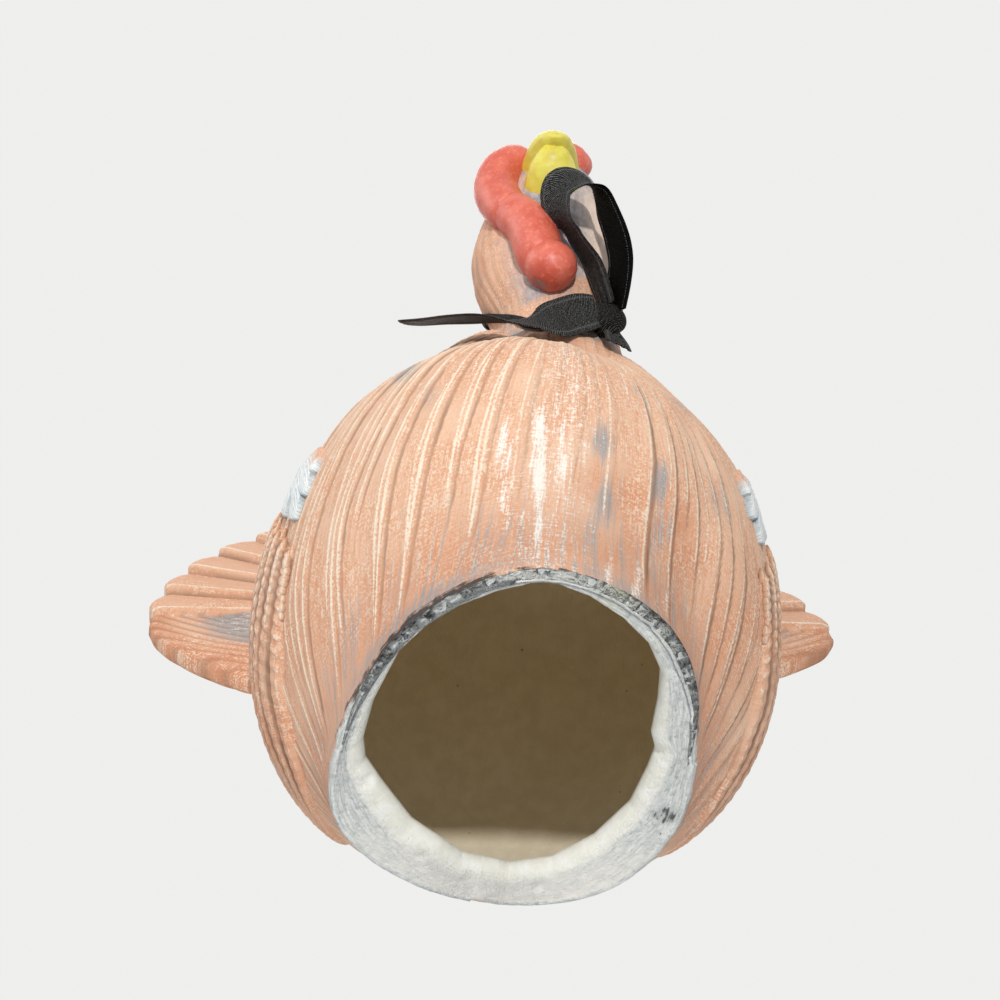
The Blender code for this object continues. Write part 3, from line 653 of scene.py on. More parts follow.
def make_body_finish():
    finish = Finish("body_stain_and_bisque", 0.82, 0.25)
    stained_colour(finish)
    grit = finish.grain(900.0, 4.0, 0.65)
    lumps = finish.grain(260.0, 4.0, 0.6)
    fibres = finish.brushed(300.0, 2400.0, 5.0, 0.65)
    bevel = finish.colour(finish.between(lumps, 0.35, 0.6), BEVEL_WHITE, BEVEL_BUFF)
    bisque = finish.colour(finish.between(lumps, 0.3, 0.7), BISQUE, DARK_BISQUE)
    bisque = finish.colour(finish.between(finish.cells(160.0), 0.06, 0.03, 0.0, 0.7), bisque, UMBER)
    finish.lay(finish.mark("foot"), foot_colour(finish, fibres, grit, lumps))
    finish.lay(finish.mark("bevel"), bevel)
    finish.lay(finish.mark("inside"), bisque)
    smudge = finish.total(finish.mark("smudge"), (fibres, 1.2), (grit, 0.6))
    finish.lay(finish.between(smudge, 1.42, 1.72, 0.0, 0.88), CHARCOAL)
    on_foot = finish.between(finish.mark("foot"), 0.2, 0.9, 0.0, 0.9)
    finish.bump(grit, 0.0005, on_foot)
    finish.bump(fibres, 0.0005, on_foot)
    return finish.done(finish.between(finish.mark("bevel"), 0.0, 1.0, 0.85, 0.6))


def make_feather_finish(name):
    finish = Finish(name, 0.82, 0.25)
    stained_colour(finish)
    return finish.done()


def make_white_finish():
    finish = Finish("white_feather_paint", 0.75, 0.3)
    powder = finish.grain(1400.0, 3.0, 0.6)
    broad = finish.grain(160.0, 3.0, 0.5)
    finish.tone = finish.colour(finish.between(broad, 0.35, 0.7), WHITE_PAINT, PALE_WHITE_PAINT)
    # Slate painted shade in the grooves and at the feathers' edges
    dark_lines_and_shade = finish.times(finish.mark("dark_lines_and_shade"), finish.between(powder, 0.3, 0.6, 0.6, 1.0))
    finish.lay(dark_lines_and_shade, SLATE)
    finish.lay(finish.mark("crest"), BARB_WHITE)
    finish.lay(finish.mark("orange"), PEACH)
    finish.bump(powder, 0.00012, 0.7)
    return finish.done()


def make_neck_finish():
    finish = Finish("neck_stain_and_grey_skin", 0.78, 0.3)
    stained_colour(finish)
    brush = finish.noise(finish.place((1.0, 1.0, 0.45)), 900.0, 4.0, 0.65)
    skin = finish.colour(finish.between(brush, 0.36, 0.64), GREY_SKIN, PALE_GREY_SKIN)
    pale = finish.times(finish.mark("pale"), finish.between(brush, 0.2, 0.7, 0.75, 1.0))
    skin = finish.colour(pale, skin, BUFF_SKIN)
    finish.lay(finish.mark("skin"), skin)
    finish.lay(finish.mark("eye"), EYE_BLACK)
    return finish.done(finish.between(finish.mark("eye"), 0.2, 0.8, 0.78, 0.12))


def make_beak_finish():
    finish = Finish("yellow_glaze", 0.42, 0.45)
    broad = finish.grain(330.0, 3.0, 0.55)
    fine = finish.grain(1300.0, 3.0, 0.6)
    finish.tone = finish.colour(finish.between(broad, 0.35, 0.68), YELLOW, PALE_YELLOW)
    smears = finish.times(finish.between(broad, 0.44, 0.34, 0.0, 0.5), finish.between(fine, 0.4, 0.6))
    finish.lay(smears, BEAK_SMEAR)
    finish.lay(finish.mark("dark_lines_and_shade"), MOUTH_LINE)
    finish.bump(fine, 0.0001, 0.6)
    return finish.done()


def make_red_finish():
    finish = Finish("coral_glaze", 0.36, 0.5)
    broad = finish.grain(240.0, 3.0, 0.5)
    fine = finish.grain(1100.0, 3.0, 0.6)
    finish.tone = finish.colour(finish.between(broad, 0.35, 0.65), CORAL, PALE_CORAL)
    # Specks of painted sheen in a paler coral
    finish.lay(finish.between(fine, 0.52, 0.68, 0.0, 0.4), PAINTED_CORAL_SHEEN)
    # Dark painted shade in the wattle's dimple
    finish.lay(finish.mark("dark_lines_and_shade"), CORAL_CREASE_SHADE)
    finish.bump(broad, 0.00025, 0.5)
    finish.bump(fine, 0.00012, 0.6)
    return finish.done(finish.between(fine, 0.3, 0.7, 0.34, 0.5))


def make_ribbon_finish():
    """Black ribbon with a fine twill carrying a grey painted sheen on its bright side; its other side is
    matt and painted in shade, without that sheen.
    """
    finish = Finish("black_ribbon", 0.6, 0.06)
    ribs = finish.ribs(700.0, 1900.0, 3.0)
    lint = finish.brushed(5200.0, 1600.0, 3.0, 0.65)
    bright = finish.reckon("SUBTRACT", 1.0, finish.mark("dull_and_shade"))
    finish.tone = finish.colour(finish.between(lint, 0.4, 0.72), RIBBON_BLACK, LINT_BLACK)
    weave = finish.times(finish.between(ribs, 0.35, 0.9), finish.between(lint, 0.4, 0.6, 0.1, 1.0))
    # Painted sheen: grey laid along the twill, on the bright side only
    finish.lay(finish.times(weave, bright), WEAVE_SHEEN_GREY)
    welt = finish.times(finish.times(finish.mark("selvedge"), 0.45), bright)
    finish.lay(welt, WELT_GREY)
    finish.bump(ribs, 0.00012, 0.8)
    finish.bump(lint, 0.00006, 0.6)
    return finish.done(finish.between(lint, 0.3, 0.7, 0.5, 0.7))


def make_thread_finish():
    finish = Finish("selvedge_thread", 0.55, 0.5)
    lint = finish.grain(2600.0, 3.0, 0.6)
    finish.tone = finish.colour(finish.between(lint, 0.35, 0.65), THREAD_BLACK, THREAD_GREY)
    return finish.done()


# Body

BODY_COLUMNS = 704
FRONT_CLOSENESS = 0.35
BODY_GIRTH = 0.3
FEATHER_TRAVEL = 0.11
SKIN_ROWS_ABOVE = 88
SKIN_ROWS_AT_FOOT = 12
FOOT_ROWS = 12
BEVEL_ROWS = 7
HOLLOW_ROWS = 16


def half_width_at(y):
    """Half width of the body at a depth from front to back."""
    return BODY_WIDTH / 2.0 * (1.0 + BREAST_TAPER * y / BACK_REACH)


def body_skin(degrees, height, grow=0.0):
    """Points on the body's outer skin, moved outwards by grow."""
    turn = np.radians(degrees)
    rise = height - WIDEST_HEIGHT
    reach = np.where(rise > 0.0, CROWN_RISE, BELLY_DROP) + grow
    level = arch(rise / reach)
    length = np.where(np.sin(turn) < 0.0, BREAST_REACH, BACK_REACH) + grow
    y = length * level * np.sin(turn)
    x = (half_width_at(y) + grow) * level * np.cos(turn)
    share = np.clip(1.0 - np.maximum(height, 0.0) / RIM_BLEND_HEIGHT, 0.0, None) ** 2
    rim = ring_reading(RIM_RADII, degrees) + grow
    x = mix(x, rim * np.cos(turn), share)
    y = mix(y, rim * np.sin(turn), share)
    return np.stack((x, y, height), -1)


def cut_radius(degrees):
    """Distance from the middle to the straight cuts between the opening's corners."""
    corners = np.array(CUT_CORNERS)
    turn = np.radians(corners[:, 0])
    x, y = corners[:, 1] * np.cos(turn), corners[:, 1] * np.sin(turn)
    place = np.searchsorted(corners[:, 0], degrees % 360.0) % len(corners)
    x0, y0, x1, y1 = x[place - 1], y[place - 1], x[place], y[place]
    ahead = np.radians(degrees)
    return (x0 * y1 - y0 * x1) / (np.cos(ahead) * (y1 - y0) - np.sin(ahead) * (x1 - x0))


def neck_root():
    forward = BREAST_REACH - NECK_ROOT_SET_BACK
    reach = 1.0 - (forward / BREAST_REACH) ** 2
    return np.array((NECK_SIDE_SHIFT, -forward, WIDEST_HEIGHT + CROWN_RISE * math.sqrt(reach)))


# Readings round the rim from which a feather's way is found
RIM_READINGS = 7201


def feather_flow():
    """How the body's feathers run: from the neck's root as the pole, down to the rim all round."""
    x, y, z = neck_root()
    pole = np.array((x / half_width_at(y), y / BREAST_REACH, (z - WIDEST_HEIGHT) / CROWN_RISE))
    pole = directions(pole)
    drop = -WIDEST_HEIGHT / BELLY_DROP
    level = math.sqrt(1.0 - drop * drop)
    down = np.array((0.0, -level, drop))
    down = directions(down - pole * down.dot(pole))
    side = np.cross(pole, down)
    turn = np.radians(np.linspace(-270.0, 90.0, RIM_READINGS))
    rim = np.stack((level * np.cos(turn), level * np.sin(turn), np.full_like(turn, drop)), -1)
    ways = np.degrees(np.unwrap(np.arctan2(rim @ side, rim @ down)))
    ways -= 360.0 * round((ways[0] + ways[-1]) / 720.0)
    return pole, down, side, ways, np.arccos(rim @ pole)


POLE, DOWN, SIDE, FLOW_WAYS, FLOW_REACH = feather_flow()


def flow_point(way, travel):
    """Body angle and height at a way round the neck (0 is down the breast, + to the right) and a
    travel from 0 at the neck to 1 at the rim."""
    reach = np.interp(way, FLOW_WAYS, FLOW_REACH) * travel
    turn = np.radians(way)
    level = np.cos(turn)[..., None] * DOWN + np.sin(turn)[..., None] * SIDE
    ahead = np.cos(reach)[..., None] * POLE + np.sin(reach)[..., None] * level
    degrees = np.degrees(np.arctan2(ahead[..., 1], ahead[..., 0])) % 360.0
    return degrees, ahead[..., 2]


def skin_height(rise, grow=0.0):
    return WIDEST_HEIGHT + rise * (np.where(rise > 0.0, CROWN_RISE, BELLY_DROP) + grow)


# How much further apart the front feathers lie at the rim than halfway, as a share
FEATHER_SPREAD = 0.75
# Half width of a feather's bright crest, in degrees round the neck, and how much wider it is behind
CREST_HALF_WIDTH = 0.55
CREST_WIDER_BEHIND = 2.6
# Share of a feather's length over which its lines fade at each end
LINE_FADE = 0.12
# A feather covers another where it stands higher by this much
LEAST_STEP = 0.00002
# Height above which a feather's shade is full
FULL_SHADE_HEIGHT = 0.0006
# Where feathers of one kind start and end round the neck, in degrees, how far apart they are, their
# half width, height, the place of their crest from -1 to 1, and how sharp it is
FEATHER_REGIONS = (
    (-112.0, -10.0, 6.0, 2.4, 0.00048, 0.1, 1.6),
    (-10.0, 14.0, 7.0, 2.6, 0.00022, 0.0, 1.5),
    (14.0, 112.0, 5.4, 2.7, 0.00078, 0.35, 1.1),
    (112.0, 248.0, 13.0, 6.0, 0.0006, 0.35, 1.2),
)
# Start and length of the feathers in each of three tiers, in shares of the way to the rim
FEATHER_TIERS = ((0.05, 0.62), (0.34, 0.64), (0.22, 0.8))


def spread_ways(ways, travel):
    """Way round the neck at which each point's feather starts; in front they spread as they run down."""
    front = 1.0 - ramp(np.abs(ways), 95.0, 175.0)[None, :]
    return ways[None, :] / (1.0 + FEATHER_SPREAD * (travel[:, None] - 0.5) * front)


def lay_feathers(relief, crest, dark_lines_and_shade, spread, travel, feathers):
    """Raise long overlapping feathers on the body; each covers what it stands higher than."""
    for way, start, length, half_width, height, peak, sharp, lean in feathers:
        rows = np.flatnonzero((travel > start) & (travel < start + length))
        if not len(rows):
            continue
        share = (travel[rows] - start) / length
        middle = way + lean * (share - 0.5) + 0.45 * np.sin(share * 9.0 + way)
        near = np.abs(short_way(spread[rows] - way)).min(axis=0)
        columns = np.flatnonzero(near < half_width + abs(lean) + 1.0)
        patch = np.ix_(rows, columns)
        place = way + short_way(spread[patch] - way)
        swell = np.sin(np.pi * share ** 0.75) ** 0.7
        width = half_width * (0.5 + 0.5 * swell)
        cross = (place - middle[:, None]) / width[:, None]
        up = held((cross + 1.0) / (1.0 + peak))
        over = held((1.0 - cross) / (1.0 - peak))
        raised = height * swell[:, None] * np.where(cross < peak, up, over) ** sharp
        ends = held(np.minimum(share, 1.0 - share) / LINE_FADE)[:, None]
        thick = CREST_HALF_WIDTH * mix(1.0, CREST_WIDER_BEHIND, ramp(abs(way), 75.0, 130.0))
        line = np.exp(-((cross - peak) * width[:, None] / thick) ** 2) * ends
        # Painted shade: a dark band on each feather's steep side, past its crest
        shade = np.exp(-((cross - mix(peak, 1.0, 0.7)) / 0.22) ** 2) * ends
        higher = raised > relief[patch] + LEAST_STEP
        crest[patch] = np.where(higher, np.maximum(line, crest[patch] * 0.2), crest[patch])
        dark_lines_and_shade[patch] = np.where(higher, shade * min(height / FULL_SHADE_HEIGHT, 1.0), dark_lines_and_shade[patch])
        relief[patch] = np.where(higher, raised, relief[patch])


def body_feathers():
    """Feathers as (way, start, length, half width, height, peak, sharpness, lean)."""
    feathers = []
    for low, high, spacing, half_width, height, peak, sharp in FEATHER_REGIONS:
        for step in range(int(round((high - low) / spacing))):
            for tier, (start, length) in enumerate(FEATHER_TIERS):
                chance = RANDOM.random(5)
                way = low + spacing * (step + 0.33 * tier + 0.35 * (chance[0] - 0.5))
                feathers.append((
                    short_way(way),
                    start + 0.16 * (chance[1] - 0.5),
                    length * (0.75 + 0.4 * chance[2]),
                    half_width * (0.75 + 0.5 * chance[3]),
                    height * (0.6 + 0.6 * chance[4]),
                    peak,
                    sharp,
                    3.0 * (chance[0] - 0.5),
                ))
    return feathers


def spots(points, places, squeeze=(1.0, 1.0, 1.0)):
    """Soft patches given as (x, y, z, radius, strength), squeezed along the axes."""
    total = np.zeros(points.shape[:-1])
    for x, y, z, radius, strength in places:
        away = np.linalg.norm((points - np.array((x, y, z))) * np.array(squeeze), axis=-1) / radius
        total = np.maximum(total, strength * np.exp(-away * away))
    return total


# Patches of grey wash, orange stain and chalk on the body, and marks and nicks on its foot
WASH_SPOTS = (
    (-0.0244, -0.053, 0.0446, 0.006, 0.75), (-0.0199, -0.0569, 0.03, 0.0045, 0.45),
    (-0.033, -0.047, 0.052, 0.006, 0.5), (-0.024, -0.044, 0.0105, 0.0035, 0.4),
    (0.01, -0.0573, 0.0178, 0.0045, 0.75), (0.0114, -0.0508, 0.0093, 0.0055, 0.7),
    (0.0122, -0.0433, 0.0035, 0.004, 0.45), (0.021, -0.0507, 0.0164, 0.005, 0.7),
    (0.0224, -0.0447, 0.0102, 0.0055, 0.6), (0.0244, -0.0362, 0.0046, 0.0045, 0.45),
    (0.033, -0.04, 0.025, 0.006, 0.55), (0.018, -0.058, 0.033, 0.006, 0.45),
    (0.028, -0.05, 0.045, 0.008, 0.45), (0.04, 0.01, 0.018, 0.009, 0.6),
    (-0.04, 0.03, 0.06, 0.012, 0.5), (0.03, 0.04, 0.05, 0.015, 0.5),
    (0.005, 0.048, 0.025, 0.012, 0.45),
)
ORANGE_SPOTS = (
    (0.0092, -0.0534, 0.0113, 0.0045, 0.55), (0.0164, -0.0499, 0.0111, 0.0055, 0.75),
    (0.0183, -0.0447, 0.0069, 0.0055, 0.8), (0.0281, -0.0387, 0.0101, 0.0065, 0.85),
    (0.0259, -0.0445, 0.0138, 0.006, 0.85), (0.002, -0.048, 0.0055, 0.006, 0.45),
    (-0.009, -0.047, 0.0055, 0.006, 0.35), (-0.01, -0.06, 0.035, 0.008, 0.3),
    (0.036, -0.02, 0.012, 0.012, 0.8), (-0.038, -0.015, 0.015, 0.012, 0.55),
    (0.0, 0.05, 0.05, 0.025, 0.45), (0.01, -0.02, 0.083, 0.02, 0.4),
)
CHALK_SPOTS = (
    (-0.0071, -0.056, 0.015, 0.004, 0.8), (-0.0068, -0.051, 0.0085, 0.0035, 0.75),
    (-0.0012, -0.0587, 0.0176, 0.0042, 0.9), (-0.001, -0.054, 0.011, 0.0045, 1.0),
    (-0.0007, -0.049, 0.0055, 0.0035, 0.8), (0.003, -0.055, 0.012, 0.0035, 0.8),
    (0.0065, -0.057, 0.016, 0.0028, 0.5), (0.0, -0.062, 0.03, 0.005, 0.45),
    (0.017, -0.043, 0.005, 0.003, 0.4), (0.0132, -0.0416, 0.0024, 0.0028, 0.7),
    (0.0187, -0.0387, 0.0028, 0.003, 0.7), (0.0254, -0.0345, 0.0041, 0.003, 0.6),
)
CHALK_SQUEEZE = (2.5, 0.6, 0.6)
WASH_SQUEEZE = (1.8, 0.9, 0.9)
FOOT_SMUDGE_SPOTS = ((0.0281, 0.0124, 0.0, 0.0042, 0.95), (0.0265, 0.017, 0.0, 0.0028, 0.8))
FOOT_STAIN_SPOTS = ((0.0135, -0.038, 0.0, 0.003, 1.0), (0.022, -0.029, 0.0, 0.002, 0.5))
FOOT_NICKS = (
    (0.024, -0.0018, 0.0006, 0.0012, 0.0011), (-0.0275, 0.0081, 0.001, 0.0012, 0.0009),
    (0.0, -0.0438, 0.0, 0.001, 0.0006), (0.003, -0.0415, 0.0, 0.0007, 0.0005),
    (-0.0165, 0.0262, 0.0, 0.001, 0.0005), (0.006, 0.033, 0.0, 0.0012, 0.0005),
)
# How high the skin sweeps up into the neck, and the share up the neck at which that is measured
NECK_FILLET_RISE = 0.0085
NECK_FILLET_CLIMB = 0.09
# From the neck's middle line: how far the sweep is full, and where it ends on the right and the left
FILLET_FULL = 0.012
FILLET_RIGHT_END = 0.034
FILLET_LEFT_END = 0.04
# The skin keeps a crease at the neck's front and sweeps up at its sides, in degrees round the neck
NECK_FRONT_WAY = 24.0
NECK_SIDE_WAY = 66.0
# The crease: its depth, its distance from the neck's middle line, its reach and its way round
BREAST_DIP = 0.0036
DIP_PLACE = 0.028
DIP_REACH = 0.017
DIP_WAY = -6.0
DIP_FULL_TO = 34.0
DIP_ENDS_AT = 78.0
BODY_MIDDLE = np.array((0.0, 0.0, WIDEST_HEIGHT))


def from_neck_line(points):
    """Distance of the points from the neck's middle line at its root, and that line's direction."""
    root, direction = neck_frame(np.array(NECK_FILLET_CLIMB))[:2]
    offset = points - root
    along = offset @ direction
    return np.linalg.norm(offset - along[..., None] * direction, axis=-1), direction


def breast_dip(points, out, ways):
    """The breast falls back in a soft crease just below the neck."""
    away = from_neck_line(points)[0]
    front = 1.0 - ramp(np.abs(ways - DIP_WAY), DIP_FULL_TO, DIP_ENDS_AT)
    dip = BREAST_DIP * hump(away, DIP_PLACE, DIP_REACH) * front * (points[..., 1] < 0.0)
    return -out * dip[..., None]


def neck_fillet(points, ways):
    """The skin climbs along the neck where it sweeps up into its sides."""
    away, direction = from_neck_line(points)
    outer = mix(FILLET_RIGHT_END, FILLET_LEFT_END, ramp(NECK_SIDE_SHIFT - points[..., 0], 0.0, 0.01))
    climb = NECK_FILLET_RISE * (1.0 - ramp(away, FILLET_FULL, outer)) ** 1.3
    sideways = ramp(np.abs(ways), NECK_FRONT_WAY, NECK_SIDE_WAY)
    return direction * (climb * sideways * (points[..., 2] > WIDEST_HEIGHT))[..., None]


def keep_in_wall(points, deepest):
    """Hold what reaches into the body inside the thickness of its wall."""
    x, y, z = np.moveaxis(points, -1, 0)
    length = np.where(y < 0.0, BREAST_REACH, BACK_REACH)
    rise = z - WIDEST_HEIGHT
    reach = np.where(rise > 0.0, CROWN_RISE, BELLY_DROP)
    depth = np.sqrt((x / half_width_at(y)) ** 2 + (y / length) ** 2 + (rise / reach) ** 2)
    grow = np.maximum(deepest / np.maximum(depth, 0.05), 1.0)
    return BODY_MIDDLE + (points - BODY_MIDDLE) * grow[..., None]


# Uneven folds and fine grain of the skin
FOLD_HEIGHT = 0.00022
SKIN_GRAIN_HEIGHT = 0.00007
# The feathers fade out towards the rim between these shares of the way to it
FEATHERS_FADE = (0.9, 0.975)
# The breast's middle has quieter feathers and more chalk
QUIET_WAY = 1.0
QUIET_REACH = 16.0


def skin_marks(points, height, degrees, crest, dark_lines_and_shade, quiet):
    """Where the body's stain, painted shade, washes, chalk, bare foot and black smudges lie on its skin."""
    rough_height = height + 0.0006 * clouds(points, 0.003, 3, 3.0)
    spread = ring_reading(SMUDGE_SPREAD, degrees)
    dark = ring_reading(SMUDGE_DARKNESS, degrees)
    near_rim = 0.62 * dark * hump(height, 0.0022, 0.0034)
    near_rim = np.maximum(near_rim, 0.36 * (1.0 - ramp(height, 0.005, 0.017)))
    blank = np.zeros(height.shape)
    return {
        "crest": crest * mix(1.0, 0.72, quiet),
        "dark_lines_and_shade": dark_lines_and_shade,
        "wash_and_shade": np.maximum(spots(points, WASH_SPOTS, WASH_SQUEEZE), near_rim),
        "orange": np.maximum(spots(points, ORANGE_SPOTS), 0.6 * hump(height, 0.0045, 0.0075)),
        "chalk": np.maximum(0.86 * spots(points, CHALK_SPOTS, CHALK_SQUEEZE), 0.38 * quiet),
        "smudge": dark * hump(rough_height, 0.0011, spread + 0.0003),
        "foot": 1.0 - ramp(rough_height, 0.0006, 0.0012),
        "bevel": blank, "inside": blank, "stain": blank,
    }


def outer_skin(ways, travel):
    """Feathered skin from the neck's root down to the rim: points, marks and body angles."""
    degrees, rise = flow_point(*np.broadcast_arrays(ways[None, :], travel[:, None]))
    height = np.maximum(skin_height(rise), 0.0)
    points = body_skin(degrees, height)
    out = grid_normals(points, True)
    if np.mean(np.einsum("ijk,ijk->ij", out, points - BODY_MIDDLE)) < 0.0:
        out = -out
    relief, crest, dark_lines_and_shade = np.zeros((3, *height.shape))
    lay_feathers(relief, crest, dark_lines_and_shade, spread_ways(ways, travel), travel, body_feathers())
    fade = 1.0 - ramp(travel, *FEATHERS_FADE)[:, None]
    fold_places = np.stack(np.broadcast_arrays(ways[None, :] / 9.0, travel[:, None] * 2.2, 0.0), -1)
    lift = (relief + FOLD_HEIGHT * clouds(fold_places, 1.0, 2)) * mix(0.25, 1.0, fade)
    lift = lift + SKIN_GRAIN_HEIGHT * clouds(points, 0.0022, 2)
    fresh = points + out * lift[..., None] + breast_dip(points, out, ways) + neck_fillet(points, ways)
    inwards = -directions(points * np.array((1.0, 1.0, 0.0)))
    low = held((RIM_ROUNDING - height) / RIM_ROUNDING)
    fresh = fresh + inwards * (RIM_ROUNDING * (1.0 - arch(low)))[..., None]
    fresh[..., 2] = np.maximum(fresh[..., 2], 0.0)
    quiet = hump(ways, QUIET_WAY, QUIET_REACH)[None, :] * ramp(travel, 0.1, 0.3)[:, None]
    marks = skin_marks(points, height, degrees, crest * mix(0.6, 1.0, fade), dark_lines_and_shade * fade, quiet)
    return fresh, marks, degrees


# Share of the hollow's way up at which its first row lies
HOLLOW_START = 0.94
# Least gaps of the hollow above the bevel and outside the cut
HOLLOW_ABOVE_BEVEL = 0.0012
HOLLOW_OUTSIDE_CUT = 0.001
# How far the hollow's first rows have its buff colour, and what each row adds
HOLLOW_FIRST_BUFF = 0.3
HOLLOW_BUFF_STEP = 0.09


def foot_and_hollow_rows(rim_degrees, ways, flat, outer):
    """Rows from the rim inwards: flat foot, smooth bevel and hollow, and each row's share of those."""
    cut = cut_radius(rim_degrees)
    bevel = ring_reading(BEVEL_WIDTHS, rim_degrees)
    rows, kinds = [], []
    for step in range(1, FOOT_ROWS + 1):
        rows.append(flat * mix(outer, cut + bevel, step / FOOT_ROWS)[:, None])
        kinds.append((1.0, 0.0, 0.0))
    for step in range(1, BEVEL_ROWS + 1):
        turn = math.pi / 2.0 * step / BEVEL_ROWS
        row = flat * (cut + bevel * (1.0 - math.sin(turn)))[:, None]
        row[:, 2] = BEVEL_RISE * (1.0 - math.cos(turn))
        rows.append(row)
        kinds.append((1.0 - step / BEVEL_ROWS, 1.0, 0.0))
    for step in range(HOLLOW_ROWS):
        travel = HOLLOW_START * (1.0 - step / HOLLOW_ROWS)
        degrees, rise = flow_point(ways, np.full(len(ways), travel))
        height = np.maximum(skin_height(rise, -WALL), BEVEL_RISE + HOLLOW_ABOVE_BEVEL)
        row = body_skin(degrees, height, -WALL)
        least = (cut_radius(degrees) + HOLLOW_OUTSIDE_CUT) / np.hypot(row[:, 0], row[:, 1])
        row[:, :2] *= np.where(height < RIM_BLEND_HEIGHT, np.maximum(least, 1.0), 1.0)[:, None]
        rows.append(row)
        kinds.append((0.0, 1.0, min(HOLLOW_FIRST_BUFF + HOLLOW_BUFF_STEP * step, 1.0)))
    return np.array(rows), np.array(kinds)


def foot_and_hollow(rim_degrees, ways):
    """Rough flat foot with its smudges, smooth bevel and hollow: points and marks."""
    turn = np.radians(rim_degrees)
    flat = np.stack((np.cos(turn), np.sin(turn), np.zeros(len(turn))), -1)
    outer = ring_reading(RIM_RADII, rim_degrees) - RIM_ROUNDING
    points, kinds = foot_and_hollow_rows(rim_degrees, ways, flat, outer)
    on_foot, on_bevel, inside = (kinds[:, kind][:, None] for kind in range(3))
    lumps = clouds(points, 0.0016, 3, 5.0)
    nicks = spots(points, FOOT_NICKS)
    points[..., 2] = np.maximum(points[..., 2] + on_foot * (0.00016 + 0.00013 * lumps), 0.0)
    points[..., 2] += nicks * (inside < 0.5)
    away = np.linalg.norm(points[..., :2] - (flat[:, :2] * outer[:, None])[None], axis=-1)
    spread = ring_reading(FOOT_SMUDGE_SPREAD, rim_degrees)[None, :]
    dark = ring_reading(SMUDGE_DARKNESS, rim_degrees)[None, :]
    smudge = dark * mix(0.42, 0.8, 1.0 - ramp(away + 0.0006 * lumps, 0.2 * spread, 1.3 * spread))
    smudge = np.maximum(smudge, spots(points, FOOT_SMUDGE_SPOTS) * (0.75 + 0.3 * lumps)) * on_foot
    blank = np.zeros(points.shape[:2])
    marks = {
        "crest": blank, "dark_lines_and_shade": blank, "wash_and_shade": blank, "orange": blank,
        "chalk": ramp(points[..., 1], 0.012, 0.034),
        "smudge": smudge,
        "foot": on_foot + blank,
        "bevel": on_bevel + blank,
        "inside": inside + blank,
        "stain": spots(points, FOOT_STAIN_SPOTS),
    }
    return points, marks


# Shares of the way from the neck to the rim: first row, and where the rows close up for the rim
SKIN_START = 0.05
SKIN_CLOSER_FROM = 0.972
FOOT_FLOW_STEP = 0.0036


def make_body(material):
    even = 2.0 * (np.arange(BODY_COLUMNS) + 0.5) / BODY_COLUMNS - 1.0
    ways = 180.0 * mix(even, even ** 3, FRONT_CLOSENESS)
    travel = np.concatenate((
        np.linspace(SKIN_START, SKIN_CLOSER_FROM, SKIN_ROWS_ABOVE),
        np.linspace(SKIN_CLOSER_FROM, 1.0, SKIN_ROWS_AT_FOOT + 1)[1:],
    ))
    skin, marks, degrees = outer_skin(ways, travel)
    inner, inner_marks = foot_and_hollow(degrees[-1], ways)
    tips = np.array((skin[0].mean(axis=0), inner[-1].mean(axis=0)))
    marks = {mark: np.concatenate((values, inner_marks[mark])) for mark, values in marks.items()}
    shape = round_form(np.concatenate((skin, inner)), tips, marks)
    row_travel = np.append(travel, 1.0 + FOOT_FLOW_STEP * np.arange(1, len(inner) + 1))
    round_way = (spread_ways(ways, np.minimum(row_travel, 1.0)) + 180.0) / 360.0 * BODY_GIRTH
    flow = flow_grid(round_way, row_travel[:, None] * FEATHER_TRAVEL)
    tip_flow = ((BODY_GIRTH / 2.0, 0.0), (BODY_GIRTH / 2.0, BODY_GIRTH / 2.0))
    shape["flow"] = np.concatenate((flow, tip_flow))
    shape["flow_period"] = BODY_GIRTH
    make_piece("body_and_foot", shape, material, "body_shell")


# Feather panels on the body's sides

PANEL_EDGE_THICKNESS = 0.0007
WING_THICKNESS = 0.0017
COVERT_THICKNESS = 0.0016
PANEL_SET_IN = 0.0012
PANEL_FLOW = (0.03, 0.057)


# Steps to either side from which the skin's direction is read: degrees and height
TURN_STEP = 0.5
LIFT_STEP = 0.0004


def panel_grid(edges, side, columns, rows):
    """Skin points and outward directions of a panel; rows run from its lower to its upper edge."""
    along = np.linspace(0.0, 1.0, columns)
    across = np.linspace(0.0, 1.0, rows)
    low = curve_through(edges[0], along)
    high = curve_through(edges[1], along)
    edge = mix(low[None], high[None], across[:, None, None])
    degrees, height = edge[..., 0], edge[..., 1]
    if side < 0:
        degrees = 180.0 - degrees
    points = body_skin(degrees, height)
    turned = body_skin(degrees + TURN_STEP, height) - body_skin(degrees - TURN_STEP, height)
    lifted = body_skin(degrees, height + LIFT_STEP) - body_skin(degrees, height - LIFT_STEP)
    return points, directions(np.cross(turned, lifted)), along, across


def panel_swell(along, across, thickness):
    swell = np.sin(np.pi * across)[:, None] ** 0.6
    swell = swell * np.sin(np.pi * mix(0.12, 0.88, along))[None, :] ** 0.5
    lift = mix(PANEL_EDGE_THICKNESS, thickness, swell)
    near_edge = np.minimum(ramp(across, 0.0, 0.07), ramp(1.0 - across, 0.0, 0.07))
    near_end = np.minimum(ramp(along, 0.0, 0.05), ramp(1.0 - along, 0.0, 0.06))
    return lift * np.minimum(near_edge[:, None], near_end[None, :])


